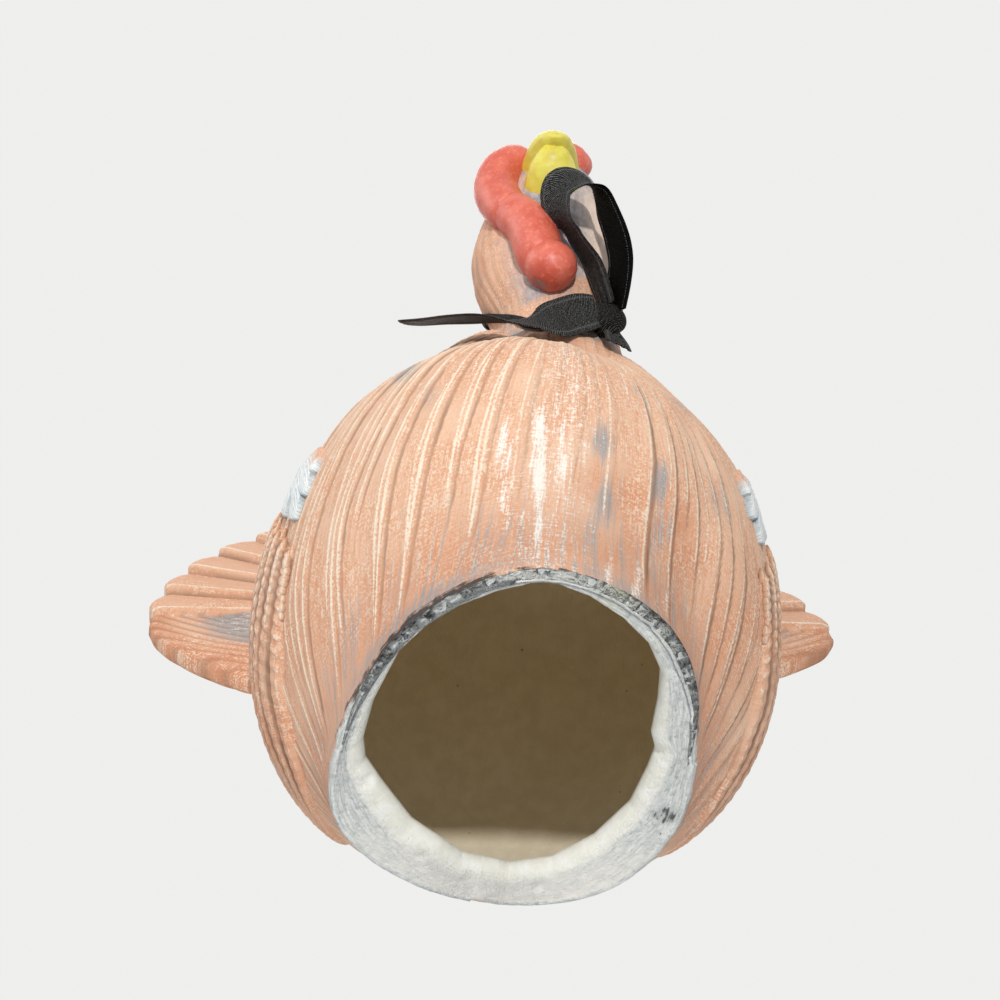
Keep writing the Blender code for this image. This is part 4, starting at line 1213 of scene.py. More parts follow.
def closed_panel(front, back):
    """Front and back grids of the same size, joined all round."""
    rows, columns = front.shape[:2]
    total = rows * columns
    face = grid_quads(rows, columns, False)
    number = np.arange(total).reshape(rows, columns)
    border = np.concatenate((number[0], number[1:-1, -1], number[-1, ::-1], number[1:-1, 0][::-1]))
    following = np.roll(border, -1)
    sides = np.stack((following, border, border + total, following + total), -1)
    quads = np.concatenate((face, face[:, ::-1] + total, sides))
    return np.concatenate((front.reshape(-1, 3), back.reshape(-1, 3))), quads


def twice(values):
    return np.concatenate((values.ravel(), values.ravel()))


def panel_shape(points, out, lift, marks, along, across):
    front = points + out * lift[..., None]
    back = points - out * PANEL_SET_IN
    both, quads = closed_panel(front, back)
    width, length = PANEL_FLOW
    flow = flow_grid(across[:, None] * width, along[None, :] * length)
    return {
        "points": both,
        "quads": quads,
        "marks": {name: twice(values) for name, values in marks.items()},
        "flow": np.concatenate((flow, flow)),
    }


WING_COLUMNS = 300
WING_ROWS = 120
WING_ROPES = 9.0
ROPE_HEIGHT = 0.0008
ROPE_SET_IN = 0.0003
# The ropes are braided as far as the first share of the wing and plain from the second
BRAID_ENDS = (0.3, 0.45)
BRAID_TWISTS = 26.0


def wing_panel(side):
    """Skin points, outward directions, shares along and across, and thickness of a folded wing."""
    edges = (WING_LOWER_EDGE, WING_UPPER_EDGE)
    points, out, along, across = panel_grid(edges, side, WING_COLUMNS, WING_ROWS)
    return points, out, along, across, panel_swell(along, across, WING_THICKNESS)


def rope_place(points, along, across):
    """Which rope a point of the wing lies on, as a number that grows across the wing."""
    a = np.broadcast_to(along[None, :], points.shape[:2])
    w = np.broadcast_to(across[:, None], points.shape[:2])
    wander = 0.018 * np.sin(a * 7.0 + w * 5.0) + 0.012 * clouds(points, 0.012, 2, 9.0)
    return (w + wander) * WING_ROPES


def wing_relief(points, along, across):
    """Long ropes of feathers with dark grooves between; they grow flatter towards the rear."""
    a = np.broadcast_to(along[None, :], points.shape[:2])
    rope = rope_place(points, along, across)
    number = np.floor(rope)
    cross = 2.0 * (rope - number) - 1.0
    round_rope = arch(cross)
    twist = np.sin(2.0 * np.pi * (a * BRAID_TWISTS + 0.37 * number + 0.32 * cross))
    braid = 1.0 - ramp(a, *BRAID_ENDS)
    relief = ROPE_HEIGHT * round_rope * (1.0 + (0.1 + 0.1 * braid) * twist)
    fine = np.sin(2.0 * np.pi * (rope * 3.0 + 0.2 * np.sin(a * 40.0)))
    relief = relief + 0.00007 * fine * (1.0 - braid)
    dark_lines_and_shade = smooth((np.abs(cross) - 0.5) / 0.4)
    streaked = mix(0.55 + 0.45 * (fine > 0.3), smooth(0.5 + 0.8 * twist), braid)
    return relief, dark_lines_and_shade, 0.85 * smooth(round_rope * 1.6 - 0.75) * streaked


def make_wing(name, node, side, material):
    points, out, along, across, lift = wing_panel(side)
    relief, dark_lines_and_shade, crest = wing_relief(points, along, across)
    thick_enough = ramp(lift, 0.0001, 0.0006)
    lift = lift - 0.0001 + (relief - ROPE_SET_IN) * thick_enough
    marks = {
        "crest": crest * thick_enough,
        "dark_lines_and_shade": held(1.3 * dark_lines_and_shade) * thick_enough,
        "wash_and_shade": 0.35 * ramp(clouds(points, 0.01, 2, 2.0), 0.1, 0.6),
        "orange": 0.3 + 0.45 * ramp(clouds(points, 0.014, 2, 4.0), -0.2, 0.5),
    }
    shape = panel_shape(points, out, lift, marks, along, across)
    make_piece(name, shape, material, node)


COVERT_COLUMNS = 110
COVERT_ROWS = 130
# Lobes as (along, across) of the tip, length, half width and lean, rear ones first
COVERT_LOBES = (
    (0.9, 0.72, 0.6, 0.17, -0.2), (0.84, 0.5, 0.6, 0.16, -0.25), (0.93, 0.3, 0.55, 0.15, -0.28),
    (0.7, 0.22, 0.6, 0.16, -0.3), (0.78, 0.08, 0.5, 0.14, -0.3), (0.55, 0.1, 0.55, 0.15, -0.25),
    (0.62, 0.44, 0.5, 0.16, -0.25), (0.56, 0.66, 0.45, 0.16, -0.22), (0.4, 0.36, 0.5, 0.17, -0.25),
    (0.34, 0.14, 0.48, 0.15, -0.22), (0.3, 0.62, 0.4, 0.17, -0.18), (0.16, 0.4, 0.45, 0.16, -0.12),
    (0.12, 0.22, 0.4, 0.13, -0.1),
)
# The patch's upper end at shares of the way along it
COVERT_UPPER_END = ((0.0, 0.02), (0.2, 0.26), (0.4, 0.55), (0.6, 0.85), (0.8, 1.0), (1.0, 1.0))
# How far the panel sinks under the skin where no lobe lies on it, and where it fades at its end
COVERT_SINK = 0.0016
COVERT_FADE_DROP = 0.0009
LOBE_HEIGHT = 0.0005
# How much higher each later lobe lies, over the first one's height
LOBE_BASE = 0.00022
LOBE_STEP = 0.00004


def covert_relief(shape, along, across):
    """Overlapping lobed feathers with fine barbs; where none lies, the panel sinks under the skin."""
    a = np.broadcast_to(along[None, :], shape)
    w = np.broadcast_to(across[:, None], shape)
    upper_end = np.interp(a + 0.05 * np.sin(w * 19.0), *np.array(COVERT_UPPER_END).T)
    fading = 0.9 * ramp(w - upper_end, -0.34, -0.04)
    relief = np.full(shape, -COVERT_SINK)
    dark_lines_and_shade = np.ones(shape)
    crest = np.zeros(shape)
    for number, (tip_along, tip_across, length, half_width, lean) in enumerate(COVERT_LOBES):
        share = (w - tip_across) / length
        spread = arch(1.0 - held(share / 0.3)) * (1.0 - 0.55 * held(share))
        cross = (a - tip_along - lean * share) / np.maximum(half_width * spread, 1e-4)
        covered = (share > 0.0) & (share < 1.0) & (np.abs(cross) < 1.0) & (w < upper_end)
        barbs = np.sin(2.0 * np.pi * (3.2 * np.abs(cross) + 7.0 * share))
        raised = LOBE_BASE + LOBE_STEP * number + LOBE_HEIGHT * arch(cross) * smooth(share / 0.08)
        raised = raised + 0.00007 * barbs - 0.00035 * share
        higher = covered & (raised > relief)
        relief = np.where(higher, raised, relief)
        edge = smooth((np.abs(cross) - 0.72) / 0.28)
        # Painted shade at the lobes' edges and between their barbs; where no lobe lies it is full
        dark_lines_and_shade = np.where(higher, np.maximum(edge * 0.8, smooth(-barbs) * 0.55), dark_lines_and_shade)
        crest = np.where(higher, smooth(barbs * 0.8) * (1.0 - edge) * 0.8, crest)
    return relief - COVERT_FADE_DROP * fading, dark_lines_and_shade, crest, fading


def make_coverts(name, node, side, material):
    edges = (COVERT_LOWER_EDGE, COVERT_UPPER_EDGE)
    points, out, along, across = panel_grid(edges, side, COVERT_COLUMNS, COVERT_ROWS)
    relief, dark_lines_and_shade, crest, fading = covert_relief(points.shape[:2], along, across)
    lift = panel_swell(along, across, COVERT_THICKNESS) * 0.55 + relief
    marks = {"crest": crest, "dark_lines_and_shade": dark_lines_and_shade, "orange": fading}
    shape = panel_shape(points, out, lift, marks, along, across)
    make_piece(name, shape, material, node)


# Tail fan

FAN_STEPS_ACROSS = 560
FAN_STEPS_UNDER = 38
FAN_STEPS_OUT = 74
FAN_GIRTH = 0.36
# How far the fan's edges turn down beyond the lobes' last points, right and left, in degrees
LOBE_TURN_RIGHT = 16.0
LOBE_TURN_LEFT = 14.0
# Share of the radius beyond which the edge is rounded, and its thickness there
FAN_EDGE_FROM = 0.965
FAN_EDGE_SHARE = 0.22
# How deep the fan's front and back reach into the body's wall
FRONT_DEEPEST = 0.965
BACK_DEEPEST = 0.952
FAN_GRAIN_HEIGHT = 0.00006


def fan_place(degrees, radius, ahead):
    """Point of the fan: angle from +X in its plane, distance from its centre, height above the plane."""
    lean = math.radians(FAN_LEAN)
    centre = np.array((0.0, BACK_REACH - FAN_SET_IN, WIDEST_HEIGHT + FAN_CENTRE_RISE))
    up = np.array((0.0, math.sin(lean), math.cos(lean)))
    front = np.array((0.0, -math.cos(lean), math.sin(lean)))
    turn = np.radians(degrees + FAN_TURN)
    sideways = TO_THE_RIGHT * (radius * np.cos(turn))[..., None]
    return centre + sideways + up * (radius * np.sin(turn))[..., None] + front * ahead[..., None]


# Angles below the plane's sides at which the fan's edge has drawn in to its foot
FOOT_ANGLES_RIGHT = (50.0, 75.0, 90.0, 105.0, 130.0)
FOOT_ANGLE_LEFT = 226.0


def fan_outline(degrees):
    """Radius of the fan's edge, each feather's number and place from -1 to 1 across it, and the lobes."""
    pitch = (180.0 - 2.0 * LOWEST_FEATHER_ANGLE) / (FEATHER_COUNT - 1)
    place = (degrees - LOWEST_FEATHER_ANGLE) / pitch
    number = np.clip(np.round(place), 0, FEATHER_COUNT - 1)
    cross = np.clip(2.0 * (place - number), -1.0, 1.0)
    tips = FAN_RADIUS - FEATHER_TIP_DROP * np.abs(cross) ** 2.4
    right, left = np.array(RIGHT_LOBE), np.array(LEFT_LOBE)
    low = -np.append(right[:, 0], FOOT_ANGLES_RIGHT)
    low_radius = np.append(right[:, 1], np.full(len(FOOT_ANGLES_RIGHT), FOOT_RADIUS))
    order = np.argsort(low)
    right_radius = np.interp(degrees, low[order], low_radius[order])
    left_angles = np.append(180.0 + left[::-1, 0], FOOT_ANGLE_LEFT)
    left_radius = np.interp(degrees, left_angles, np.append(left[::-1, 1], FOOT_RADIUS))
    right_lobe = degrees < LOWEST_FEATHER_ANGLE - 0.5 * pitch
    left_lobe = degrees > 180.0 - (LOWEST_FEATHER_ANGLE - 0.5 * pitch)
    radius = np.where(right_lobe, right_radius, np.where(left_lobe, left_radius, tips))
    return radius, number, cross, right_lobe, left_lobe


# Relief of the fan: the ridge on each plate's lower edge, the line under it, and the barbs
PLATE_RIDGE = 0.00045
PLATE_LINE = 0.00035
PLATE_BARBS = 0.00004
PLATE_BARB_SPACING = 0.0021
LOBE_BARBS = 0.00012
LOBE_BARB_SPACING = 0.0042
LOBE_ROLL = 0.0004
# Angle of the rolled edge below the lobes, left and right, and half its width, in degrees
LEFT_ROLL_ANGLE = 21.0
RIGHT_ROLL_ANGLE = 29.0
ROLL_REACH = 4.5


def fan_relief(degrees, share, radius):
    """Plates that overlap downwards, each with a raised lower edge and a dark line of painted shadow under
    it;
    lobes with fine barbs, painted shade between the barbs, and a rolled edge below them."""
    number, cross, right_lobe, left_lobe = fan_outline(degrees)[1:]
    side = np.sign((FEATHER_COUNT - 1) / 2.0 - number)
    down = -cross * side
    ridge = np.exp(-((down - 0.8) / 0.13) ** 2)
    line = np.exp(-((down + 0.93) / 0.09) ** 2) * (side != 0.0)
    grown = ramp(share, 0.18, RELIEF_RUN)
    lobe = right_lobe | left_lobe
    barb_bend = 1.6 * np.abs(cross) + 0.12 * (degrees % 7.0)
    barbs = np.sin(2.0 * np.pi * (radius / PLATE_BARB_SPACING - barb_bend))
    lobe_angle = np.where(left_lobe, degrees - 180.0, -degrees)
    lobe_barbs = np.sin(2.0 * np.pi * (radius / LOBE_BARB_SPACING + lobe_angle / 3.1))
    roll_angle = mix(LEFT_ROLL_ANGLE, RIGHT_ROLL_ANGLE, right_lobe)
    lower_roll = np.exp(-((lobe_angle - roll_angle) / ROLL_REACH) ** 2)
    plate = FEATHER_RELIEF * (0.5 + 0.5 * down) + PLATE_RIDGE * ridge - PLATE_LINE * line
    plate = plate + PLATE_BARBS * barbs
    lobe_form = 0.6 * FEATHER_RELIEF * np.sin(np.pi * held(lobe_angle / 34.0)) ** 0.6
    lobe_form = lobe_form + LOBE_BARBS * lobe_barbs * (1.0 - lower_roll) + LOBE_ROLL * lower_roll
    plate_crest = np.maximum(ridge, 0.45 * smooth(barbs - 0.3))
    lobe_wash = 1.05 * (1.0 - ramp(share, 0.7, 0.98)) * (1.0 - lower_roll)
    wash_and_shade = np.where(lobe, lobe_wash, 0.22 * (1.0 - share))
    lobe_orange = 0.25 + 0.75 * np.maximum(lower_roll, ramp(share, 0.9, 0.99))
    marks = {
        "crest": np.where(lobe, 0.7 * smooth(lobe_barbs), plate_crest) * grown,
        # Painted shadow under each plate's edge, and painted shade between the lobes' barbs
        "dark_lines_and_shade": np.where(lobe, 0.55 * smooth(-lobe_barbs), line) * grown,
        "wash_and_shade": wash_and_shade,
        "orange": np.where(lobe, lobe_orange, 0.4 * (1.0 - ridge)),
        "chalk": 0.3 * wash_and_shade,
    }
    return np.where(lobe, lobe_form, plate) * grown, marks


def make_tail(material):
    """Front and back of the fan as two round grids that meet at its edge."""
    right_most = -RIGHT_LOBE[0][0] - LOBE_TURN_RIGHT
    left_most = 180.0 + LEFT_LOBE[0][0] + LOBE_TURN_LEFT
    span = np.linspace(right_most, left_most, FAN_STEPS_ACROSS)
    under = np.linspace(left_most, right_most + 360.0, FAN_STEPS_UNDER + 2)[1:-1]
    own = np.concatenate((span, under))
    own = np.where(own > (left_most + right_most + 360.0) / 2.0, own - 360.0, own)
    share = 1.0 - (1.0 - np.linspace(0.0, 1.0, FAN_STEPS_OUT + 1)[1:]) ** 1.35
    degrees, shares = np.meshgrid(own, share)
    shown = np.arange(len(own))[None, :] < FAN_STEPS_ACROSS
    radius = np.where(shown, fan_outline(degrees)[0], FOOT_RADIUS) * shares
    edge_round = arch(held((shares - FAN_EDGE_FROM) / (1.0 - FAN_EDGE_FROM)))
    half = mix(FAN_ROOT_THICKNESS, FAN_TIP_THICKNESS, shares) / 2.0 * mix(FAN_EDGE_SHARE, 1.0, edge_round)
    relief, marks = fan_relief(degrees, shares, radius)
    relief = relief * shown
    front = fan_place(degrees, radius, half + relief)
    front = front + FAN_GRAIN_HEIGHT * clouds(front, 0.003, 2, 6.0)[..., None]
    back = fan_place(degrees, radius, -half - relief * 0.9)
    rows, columns = shares.shape
    total = rows * columns
    face = grid_quads(rows, columns, True)
    rim = np.arange(columns) + total - columns
    following = np.roll(rim, -1)
    joint = np.stack((rim, following, following + total, rim + total), -1)
    centre = fan_place(np.zeros(2), np.zeros(2), np.array((0.5, -0.5)) * FAN_ROOT_THICKNESS)
    front = keep_in_wall(front, FRONT_DEEPEST).reshape(-1, 3)
    back = keep_in_wall(back, BACK_DEEPEST).reshape(-1, 3)
    ring = np.arange(columns)
    first = fan_triangles(ring, 2 * total, True)
    last = fan_triangles(ring + total, 2 * total + 1, False)
    flow = flow_grid((degrees + 128.0) / 360.0 * FAN_GIRTH, shares * FAN_RADIUS)
    shape = {
        "points": np.concatenate((front, back, centre)),
        "quads": np.concatenate((face, face[:, ::-1] + total, joint)),
        "triangles": np.concatenate((first, last)),
        "marks": {name: np.append(twice(values * shown), (0.0, 0.0)) for name, values in marks.items()},
        "flow": np.concatenate((flow, flow, ((0.1, 0.0), (0.1, 0.0)))),
        "flow_period": FAN_GIRTH,
    }
    make_piece("tail_feathers", shape, material, "tail_fan")


# Neck and head

NECK_ROWS = 230
NECK_COLUMNS = 260
NECK_GIRTH = 0.095
NECK_LENGTH = 0.067
# How much slimmer the neck's left side is where it is narrowest, and where that is
NECK_PINCH = 0.2
PINCH_CLIMB = 0.25
# Step to either side from which the neck's direction is read
CLIMB_STEP = 0.01


def neck_frame(climb):
    """Centre, direction, front, half width and half depth at shares of the way up the neck."""
    forward, above, half_width, half_depth = np.moveaxis(curve_through(NECK_STATIONS, climb), -1, 0)
    before = curve_through(NECK_STATIONS, held(climb - CLIMB_STEP))
    after = curve_through(NECK_STATIONS, held(climb + CLIMB_STEP))
    nothing = np.zeros_like(forward)
    run = after - before
    direction = directions(np.stack((nothing, -run[..., 0], run[..., 1]), -1))
    front = np.stack((nothing, -direction[..., 2], direction[..., 1]), -1)
    centre = neck_root() + np.stack((nothing, -forward, above), -1)
    return centre, direction, front, half_width, half_depth


def neck_place(climb, degrees, stand_off):
    """Point on the neck's skin; the angle turns from its front to the left."""
    centre, _, front, half_width, half_depth = neck_frame(climb)
    turn = np.radians(degrees)
    slimmer = NECK_PINCH * hump(np.asarray(climb), PINCH_CLIMB, 0.2) * held(np.sin(turn))
    side = -(half_width * (1.0 - slimmer) + stand_off) * np.sin(turn)
    ahead = (half_depth + stand_off) * np.cos(turn)
    return centre + side[..., None] * TO_THE_RIGHT + front * ahead[..., None]


HACKLE_COUNT = 34.0
HACKLE_HEIGHT = 0.00011
EYE_PLACES = ((0.875, 100.0), (0.875, -106.0))
# Sizes of an eye: the head's length and half width there, ball, ring round it, and their heights
HEAD_LENGTH_AT_EYES = 0.062
HEAD_HALF_WIDTH_AT_EYES = 0.0125
EYE_RADIUS = 0.0021
EYE_RING_RADIUS = 0.0026
EYE_RING_WIDTH = 0.0007
EYE_HEIGHT = 0.0008
EYE_RING_HEIGHT = 0.0005


def neck_relief(climb, degrees):
    """Fine hackle lines up the neck, smooth skin on the face, and two small eyes."""
    line = np.round(degrees / 360.0 * HACKLE_COUNT)
    jitter = LATTICE[5, 7][(line.astype(int) * 7) % LATTICE_SIZE]
    wave = np.sin(2.0 * np.pi * (degrees / 360.0 * HACKLE_COUNT + 0.5 * np.sin(climb * 9.0 + jitter)))
    low_part = 1.0 - ramp(climb, 0.58, 0.7)
    sides = ramp(np.abs(short_way(degrees)), 22.0, 60.0)
    feathers = np.maximum(low_part, sides * (1.0 - ramp(climb, 0.66, 0.76)))
    patchy = 0.5 + 0.5 * np.sin(degrees * 0.11 + 3.0 * climb) * np.sin(climb * 11.0 + degrees * 0.05)
    relief = HACKLE_HEIGHT * wave * feathers * mix(0.4, 1.0, patchy)
    crest = smooth(wave * 1.4 - 0.65) * feathers * patchy
    dark_lines_and_shade = smooth(-wave * 1.4 - 0.65) * feathers * (1.0 - patchy)
    eye = np.zeros_like(climb)
    for eye_climb, eye_degrees in EYE_PLACES:
        round_head = np.radians(short_way(degrees - eye_degrees)) * HEAD_HALF_WIDTH_AT_EYES
        away = np.hypot((climb - eye_climb) * HEAD_LENGTH_AT_EYES, round_head)
        ring = np.exp(-((away - EYE_RING_RADIUS) / EYE_RING_WIDTH) ** 2)
        relief = relief + EYE_RING_HEIGHT * ring + EYE_HEIGHT * arch(away / EYE_RADIUS)
        eye = np.maximum(eye, ramp(0.002 - away, -0.0001, 0.0002))
    return relief, crest, dark_lines_and_shade, eye


# How deep the neck's foot reaches into the body's wall
NECK_DEEPEST = 0.958
NECK_GRAIN_HEIGHT = 0.0001


def make_neck(material):
    climb, turn = round_grid(NECK_ROWS, NECK_COLUMNS, 360.0)
    relief, crest, dark_lines_and_shade, eye = neck_relief(climb, turn)
    uneven = clouds(neck_place(climb, turn, relief), 0.004, 3, 8.0)
    points = keep_in_wall(neck_place(climb, turn, relief + NECK_GRAIN_HEIGHT * uneven), NECK_DEEPEST)
    around = short_way(turn)
    throat_line = hump(around, -12.0, 62.0) * ramp(climb, 0.28, 0.44)
    face = ramp(climb + 0.03 * uneven, 0.7, 0.78)
    skin = np.maximum(face, ramp(throat_line + 0.25 * uneven, 0.42, 0.62))
    skin = np.maximum(skin, hump(around, 14.0, 40.0) * ramp(climb + 0.05 * uneven, 0.2, 0.34))
    pale = ramp(-around, 8.0, 34.0) * (1.0 - ramp(climb, 0.62, 0.8))
    pale = pale + 0.35 * hump(around, 40.0, 30.0)
    marks = {
        "crest": crest * 0.7 * (1.0 - skin),
        "dark_lines_and_shade": dark_lines_and_shade * 0.55 * (1.0 - skin),
        # Grey laid at random, and a band of painted shade at the neck's foot, in the crease where it meets
        # the body
        "wash_and_shade": 0.35 * ramp(uneven, 0.0, 0.5) + 0.6 * hump(climb, 0.14, 0.08),
        "orange": 0.35 + 0.3 * ramp(uneven, 0.1, 0.6),
        "chalk": 0.25 * ramp(-uneven, 0.1, 0.6),
        "skin": skin,
        "pale": held(pale),
        "eye": eye,
    }
    top, direction, _, _, depth = neck_frame(np.array(1.0))
    crown = top + direction * CROWN_TIP_SHARE * depth
    bottom = keep_in_wall(neck_frame(np.array(0.0))[0], NECK_DEEPEST)
    shape = round_form(points, (bottom, crown), marks)
    flow = flow_grid(turn / 360.0 * NECK_GIRTH, climb * NECK_LENGTH)
    shape["flow"] = np.concatenate((flow, ((0.05, 0.0), (0.05, NECK_LENGTH))))
    shape["flow_period"] = NECK_GIRTH
    make_piece("neck_and_face", shape, material, "neck_and_head")


# Beak

BEAK_ROWS = 60
BEAK_COLUMNS = 64
# Share of the beak from which its tip rounds off, and how far it closes
TIP_ROUND_FROM = 0.93
LEAST_CLOSING = 0.004
BEAK_GRAIN_HEIGHT = 0.00016


def make_beak_half(name, node, stations, mouth_side, material):
    """Half of the beak, with a faint dark line along its mouth side."""
    forward, above = NECK_STATIONS[HEAD_STATION][:2]
    head = neck_root() + np.array((BEAK_SIDE_SHIFT, -forward, above))
    share, turn = round_grid(BEAK_ROWS, BEAK_COLUMNS, 2.0 * np.pi)
    ahead, rise, half_width, half_depth = np.moveaxis(curve_through(stations, share), -1, 0)
    near_tip = held((share - TIP_ROUND_FROM) / (1.0 - TIP_ROUND_FROM))
    closing = np.sqrt(np.clip(1.0 - near_tip ** 2, LEAST_CLOSING, 1.0))
    sideways = half_width * closing * np.cos(turn)
    points = head + np.stack((sideways, -ahead, rise + half_depth * closing * np.sin(turn)), -1)
    middle = head + np.stack((np.zeros_like(ahead), -ahead, rise), -1)
    uneven = BEAK_GRAIN_HEIGHT * clouds(points, 0.0035, 3, 12.0) * closing
    points = points + directions(points - middle) * uneven[..., None]
    first, last = stations[0], stations[-1]
    ends = head + np.array(((0.0, -first[0], first[1]), (0.0, -last[0] - BEAK_TIP_SHARE * last[3], last[1])))
    dark_lines_and_shade = 0.15 * hump(np.sin(turn) * mouth_side, 0.55, 0.28) * ramp(share, 0.2, 0.5)
    make_piece(name, round_form(points, ends, {"dark_lines_and_shade": dark_lines_and_shade}), material, node)


# Red skin

ROLL_ROWS = 110
ROLL_COLUMNS = 64
BALL_ROWS = 72
BALL_COLUMNS = 96
ROLL_GRAIN_HEIGHT = 0.0001
# Length over which a roll's end is drawn out, and the least share of its radius at its very end
ROLL_END_LENGTH = 0.004
ROLL_LEAST_END = 0.05


def roll_shape(points_on_neck):
    """Smooth roll of red skin that follows points on the neck."""
    table = np.array(points_on_neck, float)
    places = neck_place(table[:, 0], table[:, 1], table[:, 2])
    line = curve_through(np.concatenate((places, table[:, 3:4]), axis=1), np.linspace(0.0, 1.0, ROLL_ROWS))
    centres, radius = line[:, :3], line[:, 3]
    ahead = directions(np.gradient(centres, axis=0))
    across = directions(np.cross(ahead, np.array((0.0, -1.0, 0.3))))
    lift = directions(np.cross(across, ahead))
    length = length_along(centres)
    from_end = np.minimum(length, length[-1] - length)
    dome = arch(1.0 - held(from_end / (0.75 * radius)))
    turn = np.arange(ROLL_COLUMNS) * 2.0 * np.pi / ROLL_COLUMNS
    round_way = across[:, None] * np.cos(turn)[None, :, None] + lift[:, None] * np.sin(turn)[None, :, None]
    for way, distance, end in ((-1.0, length, 0), (1.0, length[-1] - length, -1)):
        drawn = (1.0 - ramp(distance, 0.0, ROLL_END_LENGTH)) * ROLL_END_SHARE * radius[end]
        centres = centres + way * ahead * drawn[:, None]
    points = centres[:, None] + round_way * (radius * np.maximum(dome, ROLL_LEAST_END))[:, None, None]
    uneven = ROLL_GRAIN_HEIGHT * clouds(points, 0.0045, 2, 14.0) * dome[:, None]
    points = points + round_way * uneven[..., None]
    return round_form(points, centres[[0, -1]], {"dark_lines_and_shade": np.zeros(points.shape[:2])})


def ball_shape(centre, radii, uneven, dents=()):
    """Slightly uneven rounded lump; the dents are (direction, half width, depth, darkness), where darkness
    is painted shade laid in the dent.
    """
    rise, turn = np.meshgrid(
        np.linspace(-math.pi / 2.0, math.pi / 2.0, BALL_ROWS)[1:-1],
        np.arange(BALL_COLUMNS) * 2.0 * np.pi / BALL_COLUMNS,
        indexing="ij",
    )
    way = np.stack((np.cos(rise) * np.cos(turn), np.cos(rise) * np.sin(turn), np.sin(rise)), -1)
    points = centre + way * np.array(radii)
    grow = uneven * clouds(points, 0.005, 3, 21.0)
    dark = np.zeros(grow.shape)
    for direction, half_width, depth, darkness in dents:
        angle = np.degrees(np.arccos(np.clip(way @ directions(np.array(direction)), -1.0, 1.0)))
        near = hump(angle, 0.0, half_width)
        grow = grow - depth * near
        dark = np.maximum(dark, darkness * near)
    ends = centre + np.array(((0.0, 0.0, -radii[2]), (0.0, 0.0, radii[2])))
    return round_form(points + way * grow[..., None], ends, {"dark_lines_and_shade": dark})


CARUNCLE_UNEVEN = 0.0003
WATTLE_UNEVEN = 0.00016
# The dimple under the wattle's end: direction, half width in degrees, depth, and darkness of the painted
# shade laid in it
WATTLE_DENTS = (((-0.45, 0.53, -0.73), 30.0, 0.0006, 0.8),)


def make_red_skin(material):
    bump_centre = neck_place(*np.array(CARUNCLE_PLACE))
    ball_centre = neck_place(*np.array(WATTLE_BALL_PLACE))
    wattle_end = ball_shape(ball_centre, (WATTLE_BALL_RADIUS,) * 3, WATTLE_UNEVEN, WATTLE_DENTS)
    for name, shape, node in (
        ("forehead_snood", roll_shape(SNOOD_POINTS), "snood"),
        ("wattle_column", roll_shape(WATTLE_POINTS), "throat_wattle"),
        ("forehead_bump", ball_shape(bump_centre, CARUNCLE_RADII, CARUNCLE_UNEVEN), "forehead_caruncle"),
        ("wattle_end", wattle_end, "wattle_ball"),
    ):
        make_piece(name, shape, material, node)


# Ribbon

STRIP_STEPS_PER_STATION = 12
STRIP_COLUMNS = 40
SELVEDGE_INSET = 0.0012
SELVEDGE_HALF_WIDTH = 0.00022
# A strip's inner edge is held to this share of the turn's radius, so that it doesn't fold over itself
TIGHTEST_TURN = 0.85
RIPPLE_HEIGHT = 0.0001
RIPPLE_LENGTH = 0.0031
GATHER_HEIGHT = 0.0006


def band_climb(degrees):
    """The band sits low at the throat and climbs towards the nape."""
    share = np.cos(np.radians(degrees) / 2.0) ** 4
    return mix(BAND_NAPE_CLIMB, BAND_FRONT_CLIMB, share)


def knot_centre():
    degrees = np.array(float(KNOT_ANGLE))
    return neck_place(band_climb(degrees), degrees, np.array(KNOT_STAND_OFF))


def strip_line(stations):
    """Middle line, its direction, edge and face directions, half width, bend and length of a strip."""
    steps = STRIP_STEPS_PER_STATION * (len(stations) - 1) + 1
    line = curve_through(stations, np.linspace(0.0, 1.0, steps))
    centre = knot_centre() + line[:, :3]
    length = length_along(centre)
    ahead = directions(np.gradient(centre, axis=0))
    edge = line[:, 3:6]
    edge = directions(edge - ahead * np.einsum("ij,ij->i", edge, ahead)[:, None])
    face = directions(np.cross(ahead, edge))
    half = RIBBON_WIDTH / 2.0 * line[:, 6]
    bend = np.einsum("ij,ij->i", np.gradient(ahead, axis=0), edge) / np.gradient(length)
    return centre, ahead, edge, face, half, bend, length


def held_reach(reach, bend):
    """Distance from the middle line, held short where the strip turns tighter than its own width."""
    return reach / np.maximum(reach * bend / TIGHTEST_TURN, 1.0)


